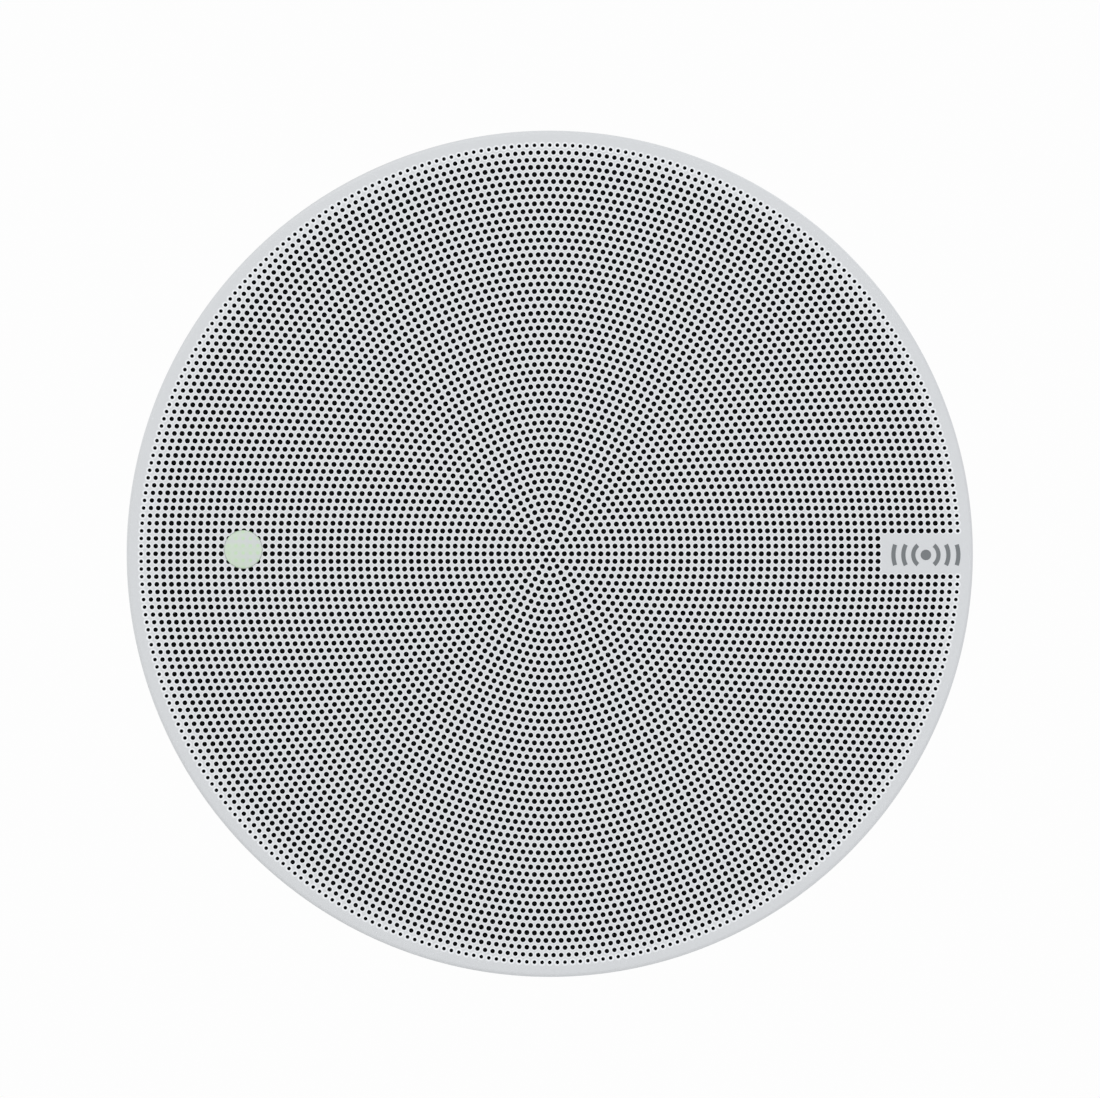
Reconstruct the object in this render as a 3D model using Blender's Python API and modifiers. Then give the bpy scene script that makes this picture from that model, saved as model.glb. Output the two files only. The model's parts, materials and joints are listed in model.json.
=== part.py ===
"""Round ceiling alarm speaker: perforated grille, coaxial driver, back can, amplifier box and four swing-out clamps.

Everything is modelled on the bench, face up: x to the right and y up as a viewer of the face sees them, z towards the
viewer, and z = 0 on the surface that the speaker is clamped to. One empty then tips the whole speaker up, so that its
face looks along world -Y. Sizes are in metres, written as millimetres times MM.
"""

import math

import bmesh
import bpy
from mathutils import Matrix, Vector

MM = 0.001
GAP = 0.3 * MM  # air kept between pieces that touch on the real object

# Facets round a full turn
LARGE = 56
MEDIUM = 28
SMALL = 12

# Grille: a shallow dish of steel sheet
GRILLE_RADIUS = 145 * MM
GRILLE_FACE = 11 * MM
GRILLE_EDGE = 1.2 * MM
SHEET = 1 * MM
GRILLE_BEND = 1.5 * MM
CLOTH_RADIUS = 141.5 * MM
CLOTH_THICKNESS = 0.5 * MM

# Sensor behind the grille
SENSOR_X, SENSOR_Y = -105 * MM, 1.5 * MM
LENS_RADIUS = 6.4 * MM
HOLDER_RADIUS = 9.5 * MM

# Front baffle
FLANGE_RADIUS = 142.5 * MM
FLANGE_FRONT = 5.3 * MM
FLANGE_BACK = 2.3 * MM
LIP_INNER = 139.5 * MM
LIP_FRONT = 8.7 * MM
SEAT_BACK = -4 * MM
SPIGOT_INNER, SPIGOT_RADIUS = 110 * MM, 124.5 * MM
GASKET_INNER = 127.5 * MM
MAGNET_CIRCLE = 134 * MM
MAGNET_COUNT = 4
MAGNET_RADIUS = 4 * MM
MAGNET_FRONT = 8.9 * MM

# Coaxial driver
DRIVER_OPENING = 76.5 * MM
DRIVER_RIM = 88 * MM
DRIVER_SCREW_CIRCLE = 84 * MM
DRIVER_SCREW_COUNT = 4
DRIVER_SCREW_FIRST = math.radians(22)
RIM_BACK, RIM_FRONT = 1.6 * MM, 2.8 * MM
COIL_RADIUS = 16.2 * MM
LEDGE = -25.8 * MM
BASKET_BACK = -36 * MM
TOP_PLATE = 6 * MM
RING_MAGNET = 16 * MM
YOKE_PLATE = 6 * MM
TWEETER_BACK = -12 * MM
TWEETER_RADIUS = 19 * MM

# Back can, with a pocket in its side at each clamp
CAN_RADIUS = 112 * MM
CAN_WALL = 2 * MM
CAN_FLANGE = 120 * MM
CAN_BACK = -95 * MM
SEAL = 1 * MM
CAN_SCREW_CIRCLE = 116 * MM
CAN_SCREW_COUNT = 4
CAN_SCREW_FIRST = math.radians(12)
POCKET_FLOOR = 98.5 * MM
POCKET_SIDES = (-12 * MM, 35.5 * MM)

# Clamps
CLAMP_COUNT = 4
CLAMP_FIRST = math.radians(45)
CLAMP_CIRCLE = 110 * MM
CLAMP_SCREW_RADIUS = 2.5 * MM
CLAMP_SCREW_TIP = -64 * MM
TOWER_END = -62 * MM
ARM_HEIGHT = -50 * MM  # of the arm's pivot centre, as stored
ARM_REACH = 32 * MM
ARM_HALF_WIDTH = 6 * MM
BOSS_RADIUS = 6.5 * MM
NUT_RADIUS = 4.2 * MM

# Amplifier box on the can's back
CASE_HALF_X, CASE_HALF_Y = 75 * MM, 52 * MM
CASE_FRONT = CAN_BACK - GAP
CASE_BACK = -122 * MM
CASE_WALL = 2.5 * MM
PARTITION = 21 * MM
COVER = 2.5 * MM
HINGE_Y = 55.5 * MM
HINGE_Z = CASE_BACK - GAP - COVER / 2
HINGE_FROM, HINGE_TO = 27 * MM, 71 * MM
KNUCKLE_RADIUS = 3.3 * MM
PIN_RADIUS = 1.5 * MM
BOARD = 1.6 * MM
BOARD_FRONT = CASE_FRONT - CASE_WALL - GAP
BUTTON_AT = (58 * MM, 10 * MM)

# Colour, roughness, metallic
FINISHES = {
    "white_paint": ((0.72, 0.74, 0.76), 0.5, 0.0),
    "white_plastic": ((0.74, 0.75, 0.75), 0.45, 0.0),
    "grey_plastic": ((0.32, 0.33, 0.34), 0.5, 0.0),
    "black_plastic": ((0.03, 0.03, 0.032), 0.5, 0.0),
    "black_foam": ((0.02, 0.02, 0.02), 0.95, 0.0),
    "black_cloth": ((0.012, 0.012, 0.012), 1.0, 0.0),
    "dark_steel": ((0.07, 0.072, 0.075), 0.45, 0.3),
    "zinc": ((0.62, 0.63, 0.64), 0.35, 1.0),
    "brass": ((0.72, 0.55, 0.28), 0.35, 1.0),
    "aluminium": ((0.6, 0.61, 0.62), 0.4, 1.0),
    "ferrite": ((0.06, 0.06, 0.065), 0.7, 0.0),
    "paper": ((0.03, 0.03, 0.03), 0.9, 0.0),
    "rubber": ((0.02, 0.02, 0.02), 0.6, 0.0),
    "linen": ((0.75, 0.6, 0.3), 0.9, 0.0),
    "silk": ((0.05, 0.05, 0.055), 0.6, 0.0),
    "board_green": ((0.02, 0.16, 0.08), 0.5, 0.0),
    "lens": ((0.72, 0.8, 0.73), 0.35, 0.0),
    "felt": ((0.5, 0.5, 0.48), 1.0, 0.0),
}


# --- Blender helpers ---------------------------------------------------------


def clear_scene():
    for obj in list(bpy.data.objects):
        bpy.data.objects.remove(obj)


def new_collection(name):
    collection = bpy.data.collections.new(name)
    bpy.context.scene.collection.children.link(collection)
    return collection


def new_material(name):
    colour, roughness, metallic = FINISHES[name]
    material = bpy.data.materials.new(name)
    material.use_nodes = True
    shader = material.node_tree.nodes["Principled BSDF"]
    shader.inputs["Base Color"].default_value = (*colour, 1)
    shader.inputs["Roughness"].default_value = roughness
    shader.inputs["Metallic"].default_value = metallic
    material.diffuse_color = (*colour, 1)
    return material


clear_scene()
PARTS = new_collection("ceiling_alarm_speaker")
HELPERS = new_collection("helpers")
MATERIALS = {name: new_material(name) for name in FINISHES}
SPEAKER = bpy.data.objects.new("speaker_axis", None)
SPEAKER.rotation_euler.x = math.radians(90)
PARTS.objects.link(SPEAKER)


def add(name, mesh, finish=None, at=(0, 0, 0), turn=0.0):
    """A part in this finish, or a hidden helper where there is none."""
    obj = bpy.data.objects.new(name, mesh)
    obj.location = at
    obj.rotation_euler.z = turn
    obj.parent = SPEAKER
    if finish:
        PARTS.objects.link(obj)
        mesh.materials.append(MATERIALS[finish])
    else:
        HELPERS.objects.link(obj)
        obj.hide_render = True
        obj.display_type = "WIRE"
    return obj


def from_bmesh(name, shape, finish=None, at=(0, 0, 0), turn=0.0):
    mesh = bpy.data.meshes.new(name)
    shape.to_mesh(mesh)
    shape.free()
    return add(name, mesh, finish, at, turn)


def put_block(shape, low, high, turn=0.0):
    """Adds a box between two corners to the bmesh, turned about z as a whole."""
    low, high = Vector(low), Vector(high)
    matrix = Matrix.Rotation(turn, 4, "Z") @ Matrix.Translation((low + high) / 2)
    bmesh.ops.create_cube(shape, size=1, matrix=matrix @ Matrix.Diagonal((*(high - low), 1)))


def put_rod(shape, radius, start, end, segments=SMALL):
    """Adds a closed cylinder from start to end to the bmesh."""
    start, end = Vector(start), Vector(end)
    along = end - start
    matrix = Matrix.Translation((start + end) / 2) @ along.to_track_quat("Z", "Y").to_matrix().to_4x4()
    bmesh.ops.create_cone(
        shape,
        cap_ends=True,
        segments=segments,
        radius1=radius,
        radius2=radius,
        depth=along.length,
        matrix=matrix,
    )


def blocks(name, corners, finish=None, turns=(0.0,), at=(0, 0, 0)):
    """One mesh of boxes, each given by two corners, repeated at each turn about z."""
    shape = bmesh.new()
    for turn in turns:
        for low, high in corners:
            put_block(shape, low, high, turn)
    return from_bmesh(name, shape, finish, at)


def rods(name, radius, ends, finish=None, segments=SMALL):
    """One mesh of equal cylinders, each given by its two ends."""
    shape = bmesh.new()
    for start, end in ends:
        put_rod(shape, radius, start, end, segments)
    return from_bmesh(name, shape, finish)


def turned(name, profile, finish=None, segments=MEDIUM, at=(0, 0, 0), turn=0.0):
    """A solid of revolution about z. The (radius, height) profile runs down its outer side, and a profile that doesn't
    start on the axis is closed back to its first point."""
    mesh = bpy.data.meshes.new(name)
    edges = [(i, i + 1) for i in range(len(profile) - 1)]
    if profile[0][0] > 0:
        edges.append((len(profile) - 1, 0))
    mesh.from_pydata([(r, 0, z) for r, z in profile], edges, [])
    obj = add(name, mesh, finish, at, turn)
    screw = obj.modifiers.new("Turn", "SCREW")
    screw.steps = screw.render_steps = segments
    screw.use_merge_vertices = True
    screw.merge_threshold = 1e-5
    return obj


def ring(inner, outer, back, front):
    """A rectangular ring's profile."""
    return [(outer, front), (outer, back), (inner, back), (inner, front)]


def disc(radius, back, front):
    return [(0, front), (radius, front), (radius, back), (0, back)]


def arc(centre, radius, start, end, steps):
    """Points on an arc in the profile plane. Angles are in degrees, from the radius direction towards z."""
    angles = [math.radians(start + (end - start) * i / steps) for i in range(steps + 1)]
    return [(centre[0] + radius * math.cos(a), centre[1] + radius * math.sin(a)) for a in angles]


def boolean(obj, other, operation):
    modifier = obj.modifiers.new(operation.title(), "BOOLEAN")
    modifier.operation = operation
    modifier.object = other
    modifier.solver = "EXACT"


def cut(obj, *cutters):
    for cutter in cutters:
        boolean(obj, cutter, "DIFFERENCE")


def fuse(obj, *pieces):
    for piece in pieces:
        boolean(obj, piece, "UNION")


def polar(radius, angle, z=0.0, aside=0.0):
    """The bench point at this radius and angle, moved aside along the tangent, anticlockwise."""
    c, s = math.cos(angle), math.sin(angle)
    return Vector((radius * c - aside * s, radius * s + aside * c, z))


def around(count, first):
    return [first + 2 * math.pi * i / count for i in range(count)]


def holes(name, radius, circle, angles, back, front, segments=SMALL):
    return rods(name, radius, [(polar(circle, a, back), polar(circle, a, front)) for a in angles], None, segments)


CLAMP_ANGLES = around(CLAMP_COUNT, CLAMP_FIRST)
DRIVER_SCREW_ANGLES = around(DRIVER_SCREW_COUNT, DRIVER_SCREW_FIRST)
CAN_SCREW_ANGLES = around(CAN_SCREW_COUNT, CAN_SCREW_FIRST)
MAGNET_ANGLES = around(MAGNET_COUNT, 0)


def pan_screw(name, head_radius, head_height, shank_radius, length, at, turn=0.0, facing=1):
    """A pan-head screw whose head rests at the given point and faces the viewer, or away from them when facing is -1."""
    top = head_height * facing
    profile = [
        (0, top),
        (head_radius * 0.62, top),
        (head_radius, top * 0.4),
        (head_radius, 0),
        (shank_radius, 0),
        (shank_radius, -length * facing + shank_radius * facing),
        (shank_radius * 0.4, -length * facing),
        (0, -length * facing),
    ]
    return turned(name, profile if facing > 0 else profile[::-1], "zinc", SMALL, at, turn)


# --- Grille ------------------------------------------------------------------


def make_grille():
    inner_bend = GRILLE_BEND - SHEET
    corner = (GRILLE_RADIUS - GRILLE_BEND, GRILLE_FACE - GRILLE_BEND)
    profile = [(0, GRILLE_FACE)]
    profile += arc(corner, GRILLE_BEND, 90, 0, 3)
    profile += [(GRILLE_RADIUS, GRILLE_EDGE), (GRILLE_RADIUS - SHEET, GRILLE_EDGE)]
    profile += arc(corner, inner_bend, 0, 90, 2)
    profile += [(0, GRILLE_FACE - SHEET)]
    grille = turned("grille", profile, "white_paint", LARGE)
    sensor = (SENSOR_X, SENSOR_Y)
    window = rods("grille_window", LENS_RADIUS + GAP, [((*sensor, 5 * MM), (*sensor, 15 * MM))], None, 24)
    cut(grille, window)

    front = GRILLE_FACE - SHEET - GAP
    cloth = turned("grille_cloth", disc(CLOTH_RADIUS, front - CLOTH_THICKNESS, front), "black_cloth", LARGE)
    cut(cloth, rods("cloth_window", HOLDER_RADIUS + GAP, [((*sensor, 5 * MM), (*sensor, 15 * MM))], None, 24))


# --- Front baffle and what sits in it ----------------------------------------


def make_baffle():
    recess = DRIVER_RIM + 0.6 * MM
    boss_outer = 92 * MM
    profile = [
        (FLANGE_RADIUS, LIP_FRONT),
        (FLANGE_RADIUS, FLANGE_BACK),
        (SPIGOT_RADIUS, FLANGE_BACK),
        (SPIGOT_RADIUS, SEAT_BACK),
        (SPIGOT_INNER, SEAT_BACK),
        (SPIGOT_INNER, FLANGE_BACK),
        (boss_outer, FLANGE_BACK),
        (boss_outer, SEAT_BACK),
        (DRIVER_OPENING, SEAT_BACK),
        (DRIVER_OPENING, 0),
        (recess, 0),
        (recess, FLANGE_FRONT),
        (LIP_INNER, FLANGE_FRONT),
        (LIP_INNER, LIP_FRONT),
    ]
    baffle = turned("front_baffle", profile, "white_plastic", LARGE)

    # Each clamp's base closes the can's pocket, and its tower guides the arm: an inner wall, a stop and an end plate.
    bite = 0.5 * MM
    wall = 2.5 * MM
    inner, outer = 100.5 * MM, 121 * MM
    stop_side, open_side = -9.5 * MM, 9 * MM
    foot, root = TOWER_END + 0.6 * MM, SEAT_BACK + bite
    base = [((94 * MM, -14 * MM, SEAT_BACK + 0.1 * MM), (113 * MM, 37.5 * MM, FLANGE_BACK + bite))]
    inner_wall = [((inner, stop_side + bite, foot), (inner + wall, open_side, root))]
    stop_wall = [((inner + 1 * MM, stop_side, foot), (outer, stop_side + wall, root))]
    low, high = (inner - bite, stop_side - bite, TOWER_END), (outer + bite, open_side + bite, TOWER_END + wall)
    end_plate = [(low, high)]
    sensor = (SENSOR_X, SENSOR_Y)
    fuse(
        baffle,
        blocks("clamp_bases", base, None, CLAMP_ANGLES),
        blocks("tower_inner_walls", inner_wall, None, CLAMP_ANGLES),
        blocks("tower_stop_walls", stop_wall, None, CLAMP_ANGLES),
        blocks("tower_end_plates", end_plate, None, CLAMP_ANGLES),
        holes("magnet_posts", 5.4 * MM, MAGNET_CIRCLE, MAGNET_ANGLES, FLANGE_BACK + bite, LIP_FRONT - 0.1 * MM),
        rods("sensor_boss", HOLDER_RADIUS + 2.5 * MM, [((*sensor, SEAT_BACK + 0.1 * MM), (*sensor, 4 * MM))], None, 24),
    )

    through = 80 * MM
    cut(
        baffle,
        rods("sensor_pocket", HOLDER_RADIUS + GAP, [((*sensor, -2 * MM), (*sensor, 20 * MM))], None, 24),
        holes("magnet_pockets", MAGNET_RADIUS + GAP, MAGNET_CIRCLE, MAGNET_ANGLES, FLANGE_FRONT, 20 * MM),
        holes("clamp_holes", CLAMP_SCREW_RADIUS + GAP, CLAMP_CIRCLE, CLAMP_ANGLES, -through, through, 12),
        holes("driver_holes", 2 * MM, DRIVER_SCREW_CIRCLE, DRIVER_SCREW_ANGLES, -20 * MM, 3 * MM, 12),
        holes("can_holes", 2 * MM, CAN_SCREW_CIRCLE, CAN_SCREW_ANGLES, -20 * MM, 3 * MM, 12),
    )

    turned("flange_gasket", ring(GASKET_INNER, FLANGE_RADIUS - 0.5 * MM, 0, FLANGE_BACK - GAP), "black_foam", LARGE)
    for number, angle in enumerate(MAGNET_ANGLES, 1):
        magnet = disc(MAGNET_RADIUS, FLANGE_FRONT + GAP, MAGNET_FRONT)
        turned(f"grille_magnet_{number}", magnet, "zinc", SMALL, polar(MAGNET_CIRCLE, angle))


def make_sensor():
    at = (SENSOR_X, SENSOR_Y, 0)
    wall = 1.2 * MM
    bottom, top = -1.7 * MM, 7.6 * MM
    inner = HOLDER_RADIUS - wall
    floor = bottom + 1 * MM
    holder = [(HOLDER_RADIUS, top), (HOLDER_RADIUS, bottom), (3 * MM, bottom), (3 * MM, floor), (inner, floor), (inner, top)]
    turned("sensor_holder", holder, "black_plastic", 24, at)

    board_top = floor + GAP + 1 * MM
    turned("sensor_board", disc(inner - GAP, floor + GAP, board_top), "board_green", 24, at)
    element_bottom = board_top + GAP
    element = [
        (0, element_bottom + 4 * MM),
        (4.1 * MM, element_bottom + 4 * MM),
        (4.1 * MM, element_bottom + 0.6 * MM),
        (4.6 * MM, element_bottom + 0.6 * MM),
        (4.6 * MM, element_bottom),
        (0, element_bottom),
    ]
    turned("sensor_element", element, "zinc", SMALL, at)

    # The lens is a thin dished cap with a flange that sits on the holder.
    skin = 0.9 * MM
    flange_bottom = top + GAP
    flange_radius = 8.8 * MM
    rim = GRILLE_FACE + 0.2 * MM
    crown = GRILLE_FACE + 0.9 * MM
    lens = [
        (0, crown),
        (LENS_RADIUS * 0.5, crown - 0.15 * MM),
        (LENS_RADIUS * 0.85, crown - 0.42 * MM),
        (LENS_RADIUS, rim),
        (LENS_RADIUS, flange_bottom + skin),
        (flange_radius, flange_bottom + skin),
        (flange_radius, flange_bottom),
        (LENS_RADIUS - skin, flange_bottom),
        (LENS_RADIUS - skin, rim - skin),
        (0, crown - skin),
    ]
    turned("sensor_lens", lens, "lens", 24, at)


# --- Coaxial driver ----------------------------------------------------------


def make_basket():
    sheet = 1.2 * MM
    ledge_outer, ledge_inner = 58 * MM, 50 * MM
    base_outer, base_inner = 46 * MM, 20 * MM
    outer = [
        (DRIVER_RIM, RIM_FRONT),
        (DRIVER_RIM, RIM_BACK),
        (75.6 * MM, RIM_BACK),
        (75 * MM, SEAT_BACK),
        (ledge_outer + sheet, LEDGE - sheet),
        (ledge_inner + sheet, LEDGE - sheet),
        (base_outer, BASKET_BACK),
        (base_inner, BASKET_BACK),
    ]
    inner = [
        (base_inner, BASKET_BACK + sheet),
        (base_outer - sheet, BASKET_BACK + sheet),
        (ledge_inner, LEDGE),
        (ledge_outer, LEDGE),
        (73.8 * MM, SEAT_BACK),
        (73.8 * MM, RIM_FRONT),
    ]
    basket = turned("driver_basket", outer + inner, "dark_steel", MEDIUM)

    # Six windows through the sloping wall leave six spokes.
    window = [((60 * MM, -17 * MM, -21 * MM), (80 * MM, 17 * MM, -7 * MM))]
    windows = blocks("basket_windows", window, None, around(3, 0) + around(3, math.pi / 3))
    screws = holes("basket_holes", 2 * MM, DRIVER_SCREW_CIRCLE, DRIVER_SCREW_ANGLES, -1 * MM, 5 * MM, 12)
    cut(basket, windows, screws)

    gasket = ring(77 * MM, DRIVER_RIM - 0.4 * MM, GAP, RIM_BACK - GAP)
    driver_gasket = turned("driver_gasket", gasket, "black_foam", MEDIUM)
    cut(driver_gasket, holes("gasket_holes", 2 * MM, DRIVER_SCREW_CIRCLE, DRIVER_SCREW_ANGLES, -1 * MM, 5 * MM, 12))
    for number, angle in enumerate(DRIVER_SCREW_ANGLES, 1):
        at = polar(DRIVER_SCREW_CIRCLE, angle, RIM_FRONT + GAP)
        pan_screw(f"driver_screw_{number}", 3 * MM, 2.2 * MM, 1.7 * MM, 6.5 * MM, at, angle)


def make_motor():
    back = BASKET_BACK - GAP
    turned("top_plate", ring(18 * MM, 42 * MM, back - TOP_PLATE, back), "zinc", MEDIUM)
    magnet_front = back - TOP_PLATE - GAP
    turned("ring_magnet", ring(24 * MM, 46 * MM, magnet_front - RING_MAGNET, magnet_front), "ferrite", MEDIUM)
    plate_front = magnet_front - RING_MAGNET - GAP
    pole_radius = COIL_RADIUS - 0.6 * MM
    vent = 4 * MM
    yoke = [
        (pole_radius, back),
        (pole_radius, plate_front),
        (42 * MM, plate_front),
        (42 * MM, plate_front - YOKE_PLATE + 1 * MM),
        (41 * MM, plate_front - YOKE_PLATE),
        (vent, plate_front - YOKE_PLATE),
        (vent, back),
    ]
    turned("pole_yoke", yoke, "zinc", MEDIUM)
    return back


def make_moving_coil():
    edge, neck = 63.5 * MM, COIL_RADIUS + 0.8 * MM
    lip_inner = 60.5 * MM
    edge_height, neck_height = 1.9 * MM, -19 * MM
    skin = 0.8 * MM
    cone = [
        (edge, edge_height),
        (edge, edge_height - skin),
        (lip_inner, edge_height - skin),
        (neck + 0.6 * MM, neck_height - skin),
        (neck, neck_height - 2 * MM),
        (neck, neck_height),
        (lip_inner - 1.4 * MM, edge_height),
    ]
    turned("cone", cone, "paper", MEDIUM)

    winding_front, winding_back = -35 * MM, -44 * MM
    former_wall, winding = 0.5 * MM, 1.1 * MM
    former = [
        (COIL_RADIUS + former_wall, neck_height + 1 * MM),
        (COIL_RADIUS + former_wall, winding_front),
        (COIL_RADIUS + winding, winding_front),
        (COIL_RADIUS + winding, winding_back),
        (COIL_RADIUS + former_wall, winding_back),
        (COIL_RADIUS + former_wall, winding_back - 2 * MM),
        (COIL_RADIUS, winding_back - 2 * MM),
        (COIL_RADIUS, neck_height + 1 * MM),
    ]
    turned("coil_former", former, "brass", MEDIUM)

    # The surround is a half roll between a flat on the cone's edge and a flat on the basket's rim.
    rubber = 0.6 * MM
    inner_flat, outer_flat = edge_height + GAP, RIM_FRONT + GAP
    middle, roll = 69.2 * MM, 4 * MM
    profile = [(79 * MM, outer_flat + rubber), (79 * MM, outer_flat)]
    profile += arc((middle, outer_flat), roll, 8, 172, 6)
    profile += [(60.8 * MM, inner_flat), (60.8 * MM, inner_flat + rubber)]
    profile += arc((middle, outer_flat), roll + rubber, 172, 8, 6)
    turned("cone_surround", profile, "rubber", MEDIUM)

    # The spider is a pressed cloth disc with waves.
    inner, outer = COIL_RADIUS + 0.8 * MM, 54.5 * MM
    waves, height, cloth = 3, 1.6 * MM, 0.5 * MM
    steps = 2 * waves
    line = []
    for step in range(steps + 1):
        radius = inner + (outer - inner) * step / steps
        swing = 0 if step in (0, steps) else height * (1 if step % 2 else -1)
        line.append((radius, LEDGE + GAP + height + cloth + swing))
    line[-1] = (outer, LEDGE + GAP)
    over = [(r, z + cloth) for r, z in line]
    turned("spider", over + line[::-1], "linen", MEDIUM)


def make_tweeter(pole_front):
    turned("tweeter_post", ring(2.5 * MM, 5 * MM, pole_front + GAP, TWEETER_BACK - GAP), "aluminium", SMALL)
    wall = 2 * MM
    front = TWEETER_BACK + 10 * MM
    housing = [
        (TWEETER_RADIUS, front),
        (TWEETER_RADIUS, TWEETER_BACK + 3 * MM),
        (TWEETER_RADIUS - 3 * MM, TWEETER_BACK),
        (2 * MM, TWEETER_BACK),
        (2 * MM, TWEETER_BACK + wall),
        (TWEETER_RADIUS - wall - 2 * MM, TWEETER_BACK + wall),
        (TWEETER_RADIUS - wall, TWEETER_BACK + 4 * MM),
        (TWEETER_RADIUS - wall, front),
    ]
    turned("tweeter_housing", housing, "black_plastic", 24)

    dome_radius, skin = 10 * MM, 0.6 * MM
    edge = front - 1.2 * MM
    rise = 2.8 * MM
    sphere = (dome_radius**2 + rise**2) / (2 * rise)
    half_angle = math.degrees(math.asin(dome_radius / sphere))
    centre = (0, edge + rise - sphere)
    over = arc(centre, sphere, 90, 90 - half_angle, 3)
    under = arc(centre, sphere - skin, 90 - half_angle, 90, 3)
    over[0], under[-1] = (0, edge + rise), (0, edge + rise - skin)
    flange = [(dome_radius + 4 * MM, edge), (dome_radius + 4 * MM, edge - skin)]
    turned("tweeter_dome", over + flange + under, "silk", 24)

    # The guard is a faceplate ring with three spokes that carry a small phase plug over the dome.
    plate = front + GAP
    guard = turned(
        "tweeter_guard",
        [
            (TWEETER_RADIUS, plate + 0.8 * MM),
            (TWEETER_RADIUS, plate),
            (12.2 * MM, plate),
            (12.2 * MM, plate + 1.6 * MM),
            (16 * MM, plate + 2.4 * MM),
        ],
        "black_plastic",
        24,
    )
    spoke_back, spoke_front = plate + 2.6 * MM, plate + 4 * MM
    leg = [((13 * MM, -0.8 * MM, plate + 0.6 * MM), (15 * MM, 0.8 * MM, spoke_front))]
    spoke = [((2 * MM, -0.75 * MM, spoke_back), (14.6 * MM, 0.75 * MM, spoke_front - 0.1 * MM))]
    plug = rods("phase_plug", 3.6 * MM, [((0, 0, spoke_back - 0.4 * MM), (0, 0, spoke_front + 0.4 * MM))])
    turns = around(3, math.pi / 2)
    fuse(guard, blocks("guard_legs", leg, None, turns), blocks("guard_spokes", spoke, None, turns), plug)


# --- Back can ----------------------------------------------------------------


def pockets(name, offset, back, front):
    """The clamp pockets as cutting blocks, with every pocket wall moved outwards by offset."""
    low, high = POCKET_SIDES
    corners = [((POCKET_FLOOR - offset, low - offset, back), (160 * MM, high + offset, front))]
    return blocks(name, corners, None, CLAMP_ANGLES)


def make_can():
    seal_front = SEAT_BACK - GAP
    seal_back = seal_front - SEAL
    seal = turned("can_seal", ring(CAN_RADIUS - 14 * MM, CAN_FLANGE - 0.5 * MM, seal_back, seal_front), "black_foam", LARGE)
    inside = turned("seal_inside", disc(CAN_RADIUS - CAN_WALL, seal_back - 5 * MM, seal_front + 5 * MM), None, LARGE)
    cut(inside, pockets("seal_inner_pockets", CAN_WALL, -20 * MM, 20 * MM))
    cut(
        seal,
        inside,
        pockets("seal_pockets", 0.2 * MM, -20 * MM, 20 * MM),
        holes("seal_holes", 2 * MM, CAN_SCREW_CIRCLE, CAN_SCREW_ANGLES, -20 * MM, 5 * MM, 12),
    )

    rim_front = seal_back - GAP
    rim_back = rim_front - 2 * MM
    corner = 10 * MM
    outside = [(0, rim_front), (CAN_FLANGE, rim_front), (CAN_FLANGE, rim_back), (CAN_RADIUS, rim_back)]
    outside += arc((CAN_RADIUS - corner, CAN_BACK + corner), corner, 0, -90, 3)
    outside += [(0, CAN_BACK)]
    can = turned("back_can", outside, "dark_steel", LARGE)
    room = [(0, 0), (CAN_RADIUS - CAN_WALL, 0)]
    room += arc((CAN_RADIUS - corner, CAN_BACK + corner), corner - CAN_WALL, 0, -90, 3)
    room += [(0, CAN_BACK + CAN_WALL)]
    hollow = turned("can_hollow", room, None, LARGE)
    cut(hollow, pockets("can_inner_pockets", CAN_WALL, -120 * MM, 20 * MM))
    lead_hole = rods("lead_hole", 5 * MM, [((0, 0, CAN_BACK - 5 * MM), (0, 0, CAN_BACK + 5 * MM))])
    cut(
        can,
        pockets("can_pockets", 0, -120 * MM, 20 * MM),
        hollow,
        lead_hole,
        holes("can_flange_holes", 2 * MM, CAN_SCREW_CIRCLE, CAN_SCREW_ANGLES, -20 * MM, 5 * MM, 12),
    )
    for number, angle in enumerate(CAN_SCREW_ANGLES, 1):
        at = polar(CAN_SCREW_CIRCLE, angle, rim_back - GAP)
        pan_screw(f"can_screw_{number}", 3 * MM, 2.2 * MM, 1.6 * MM, 8 * MM, at, angle, facing=-1)

    pad_back = CAN_BACK + CAN_WALL + 0.5 * MM
    turned("damping_pad", disc(92 * MM, pad_back, pad_back + 12 * MM), "felt", MEDIUM)


# --- Amplifier box -----------------------------------------------------------


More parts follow.
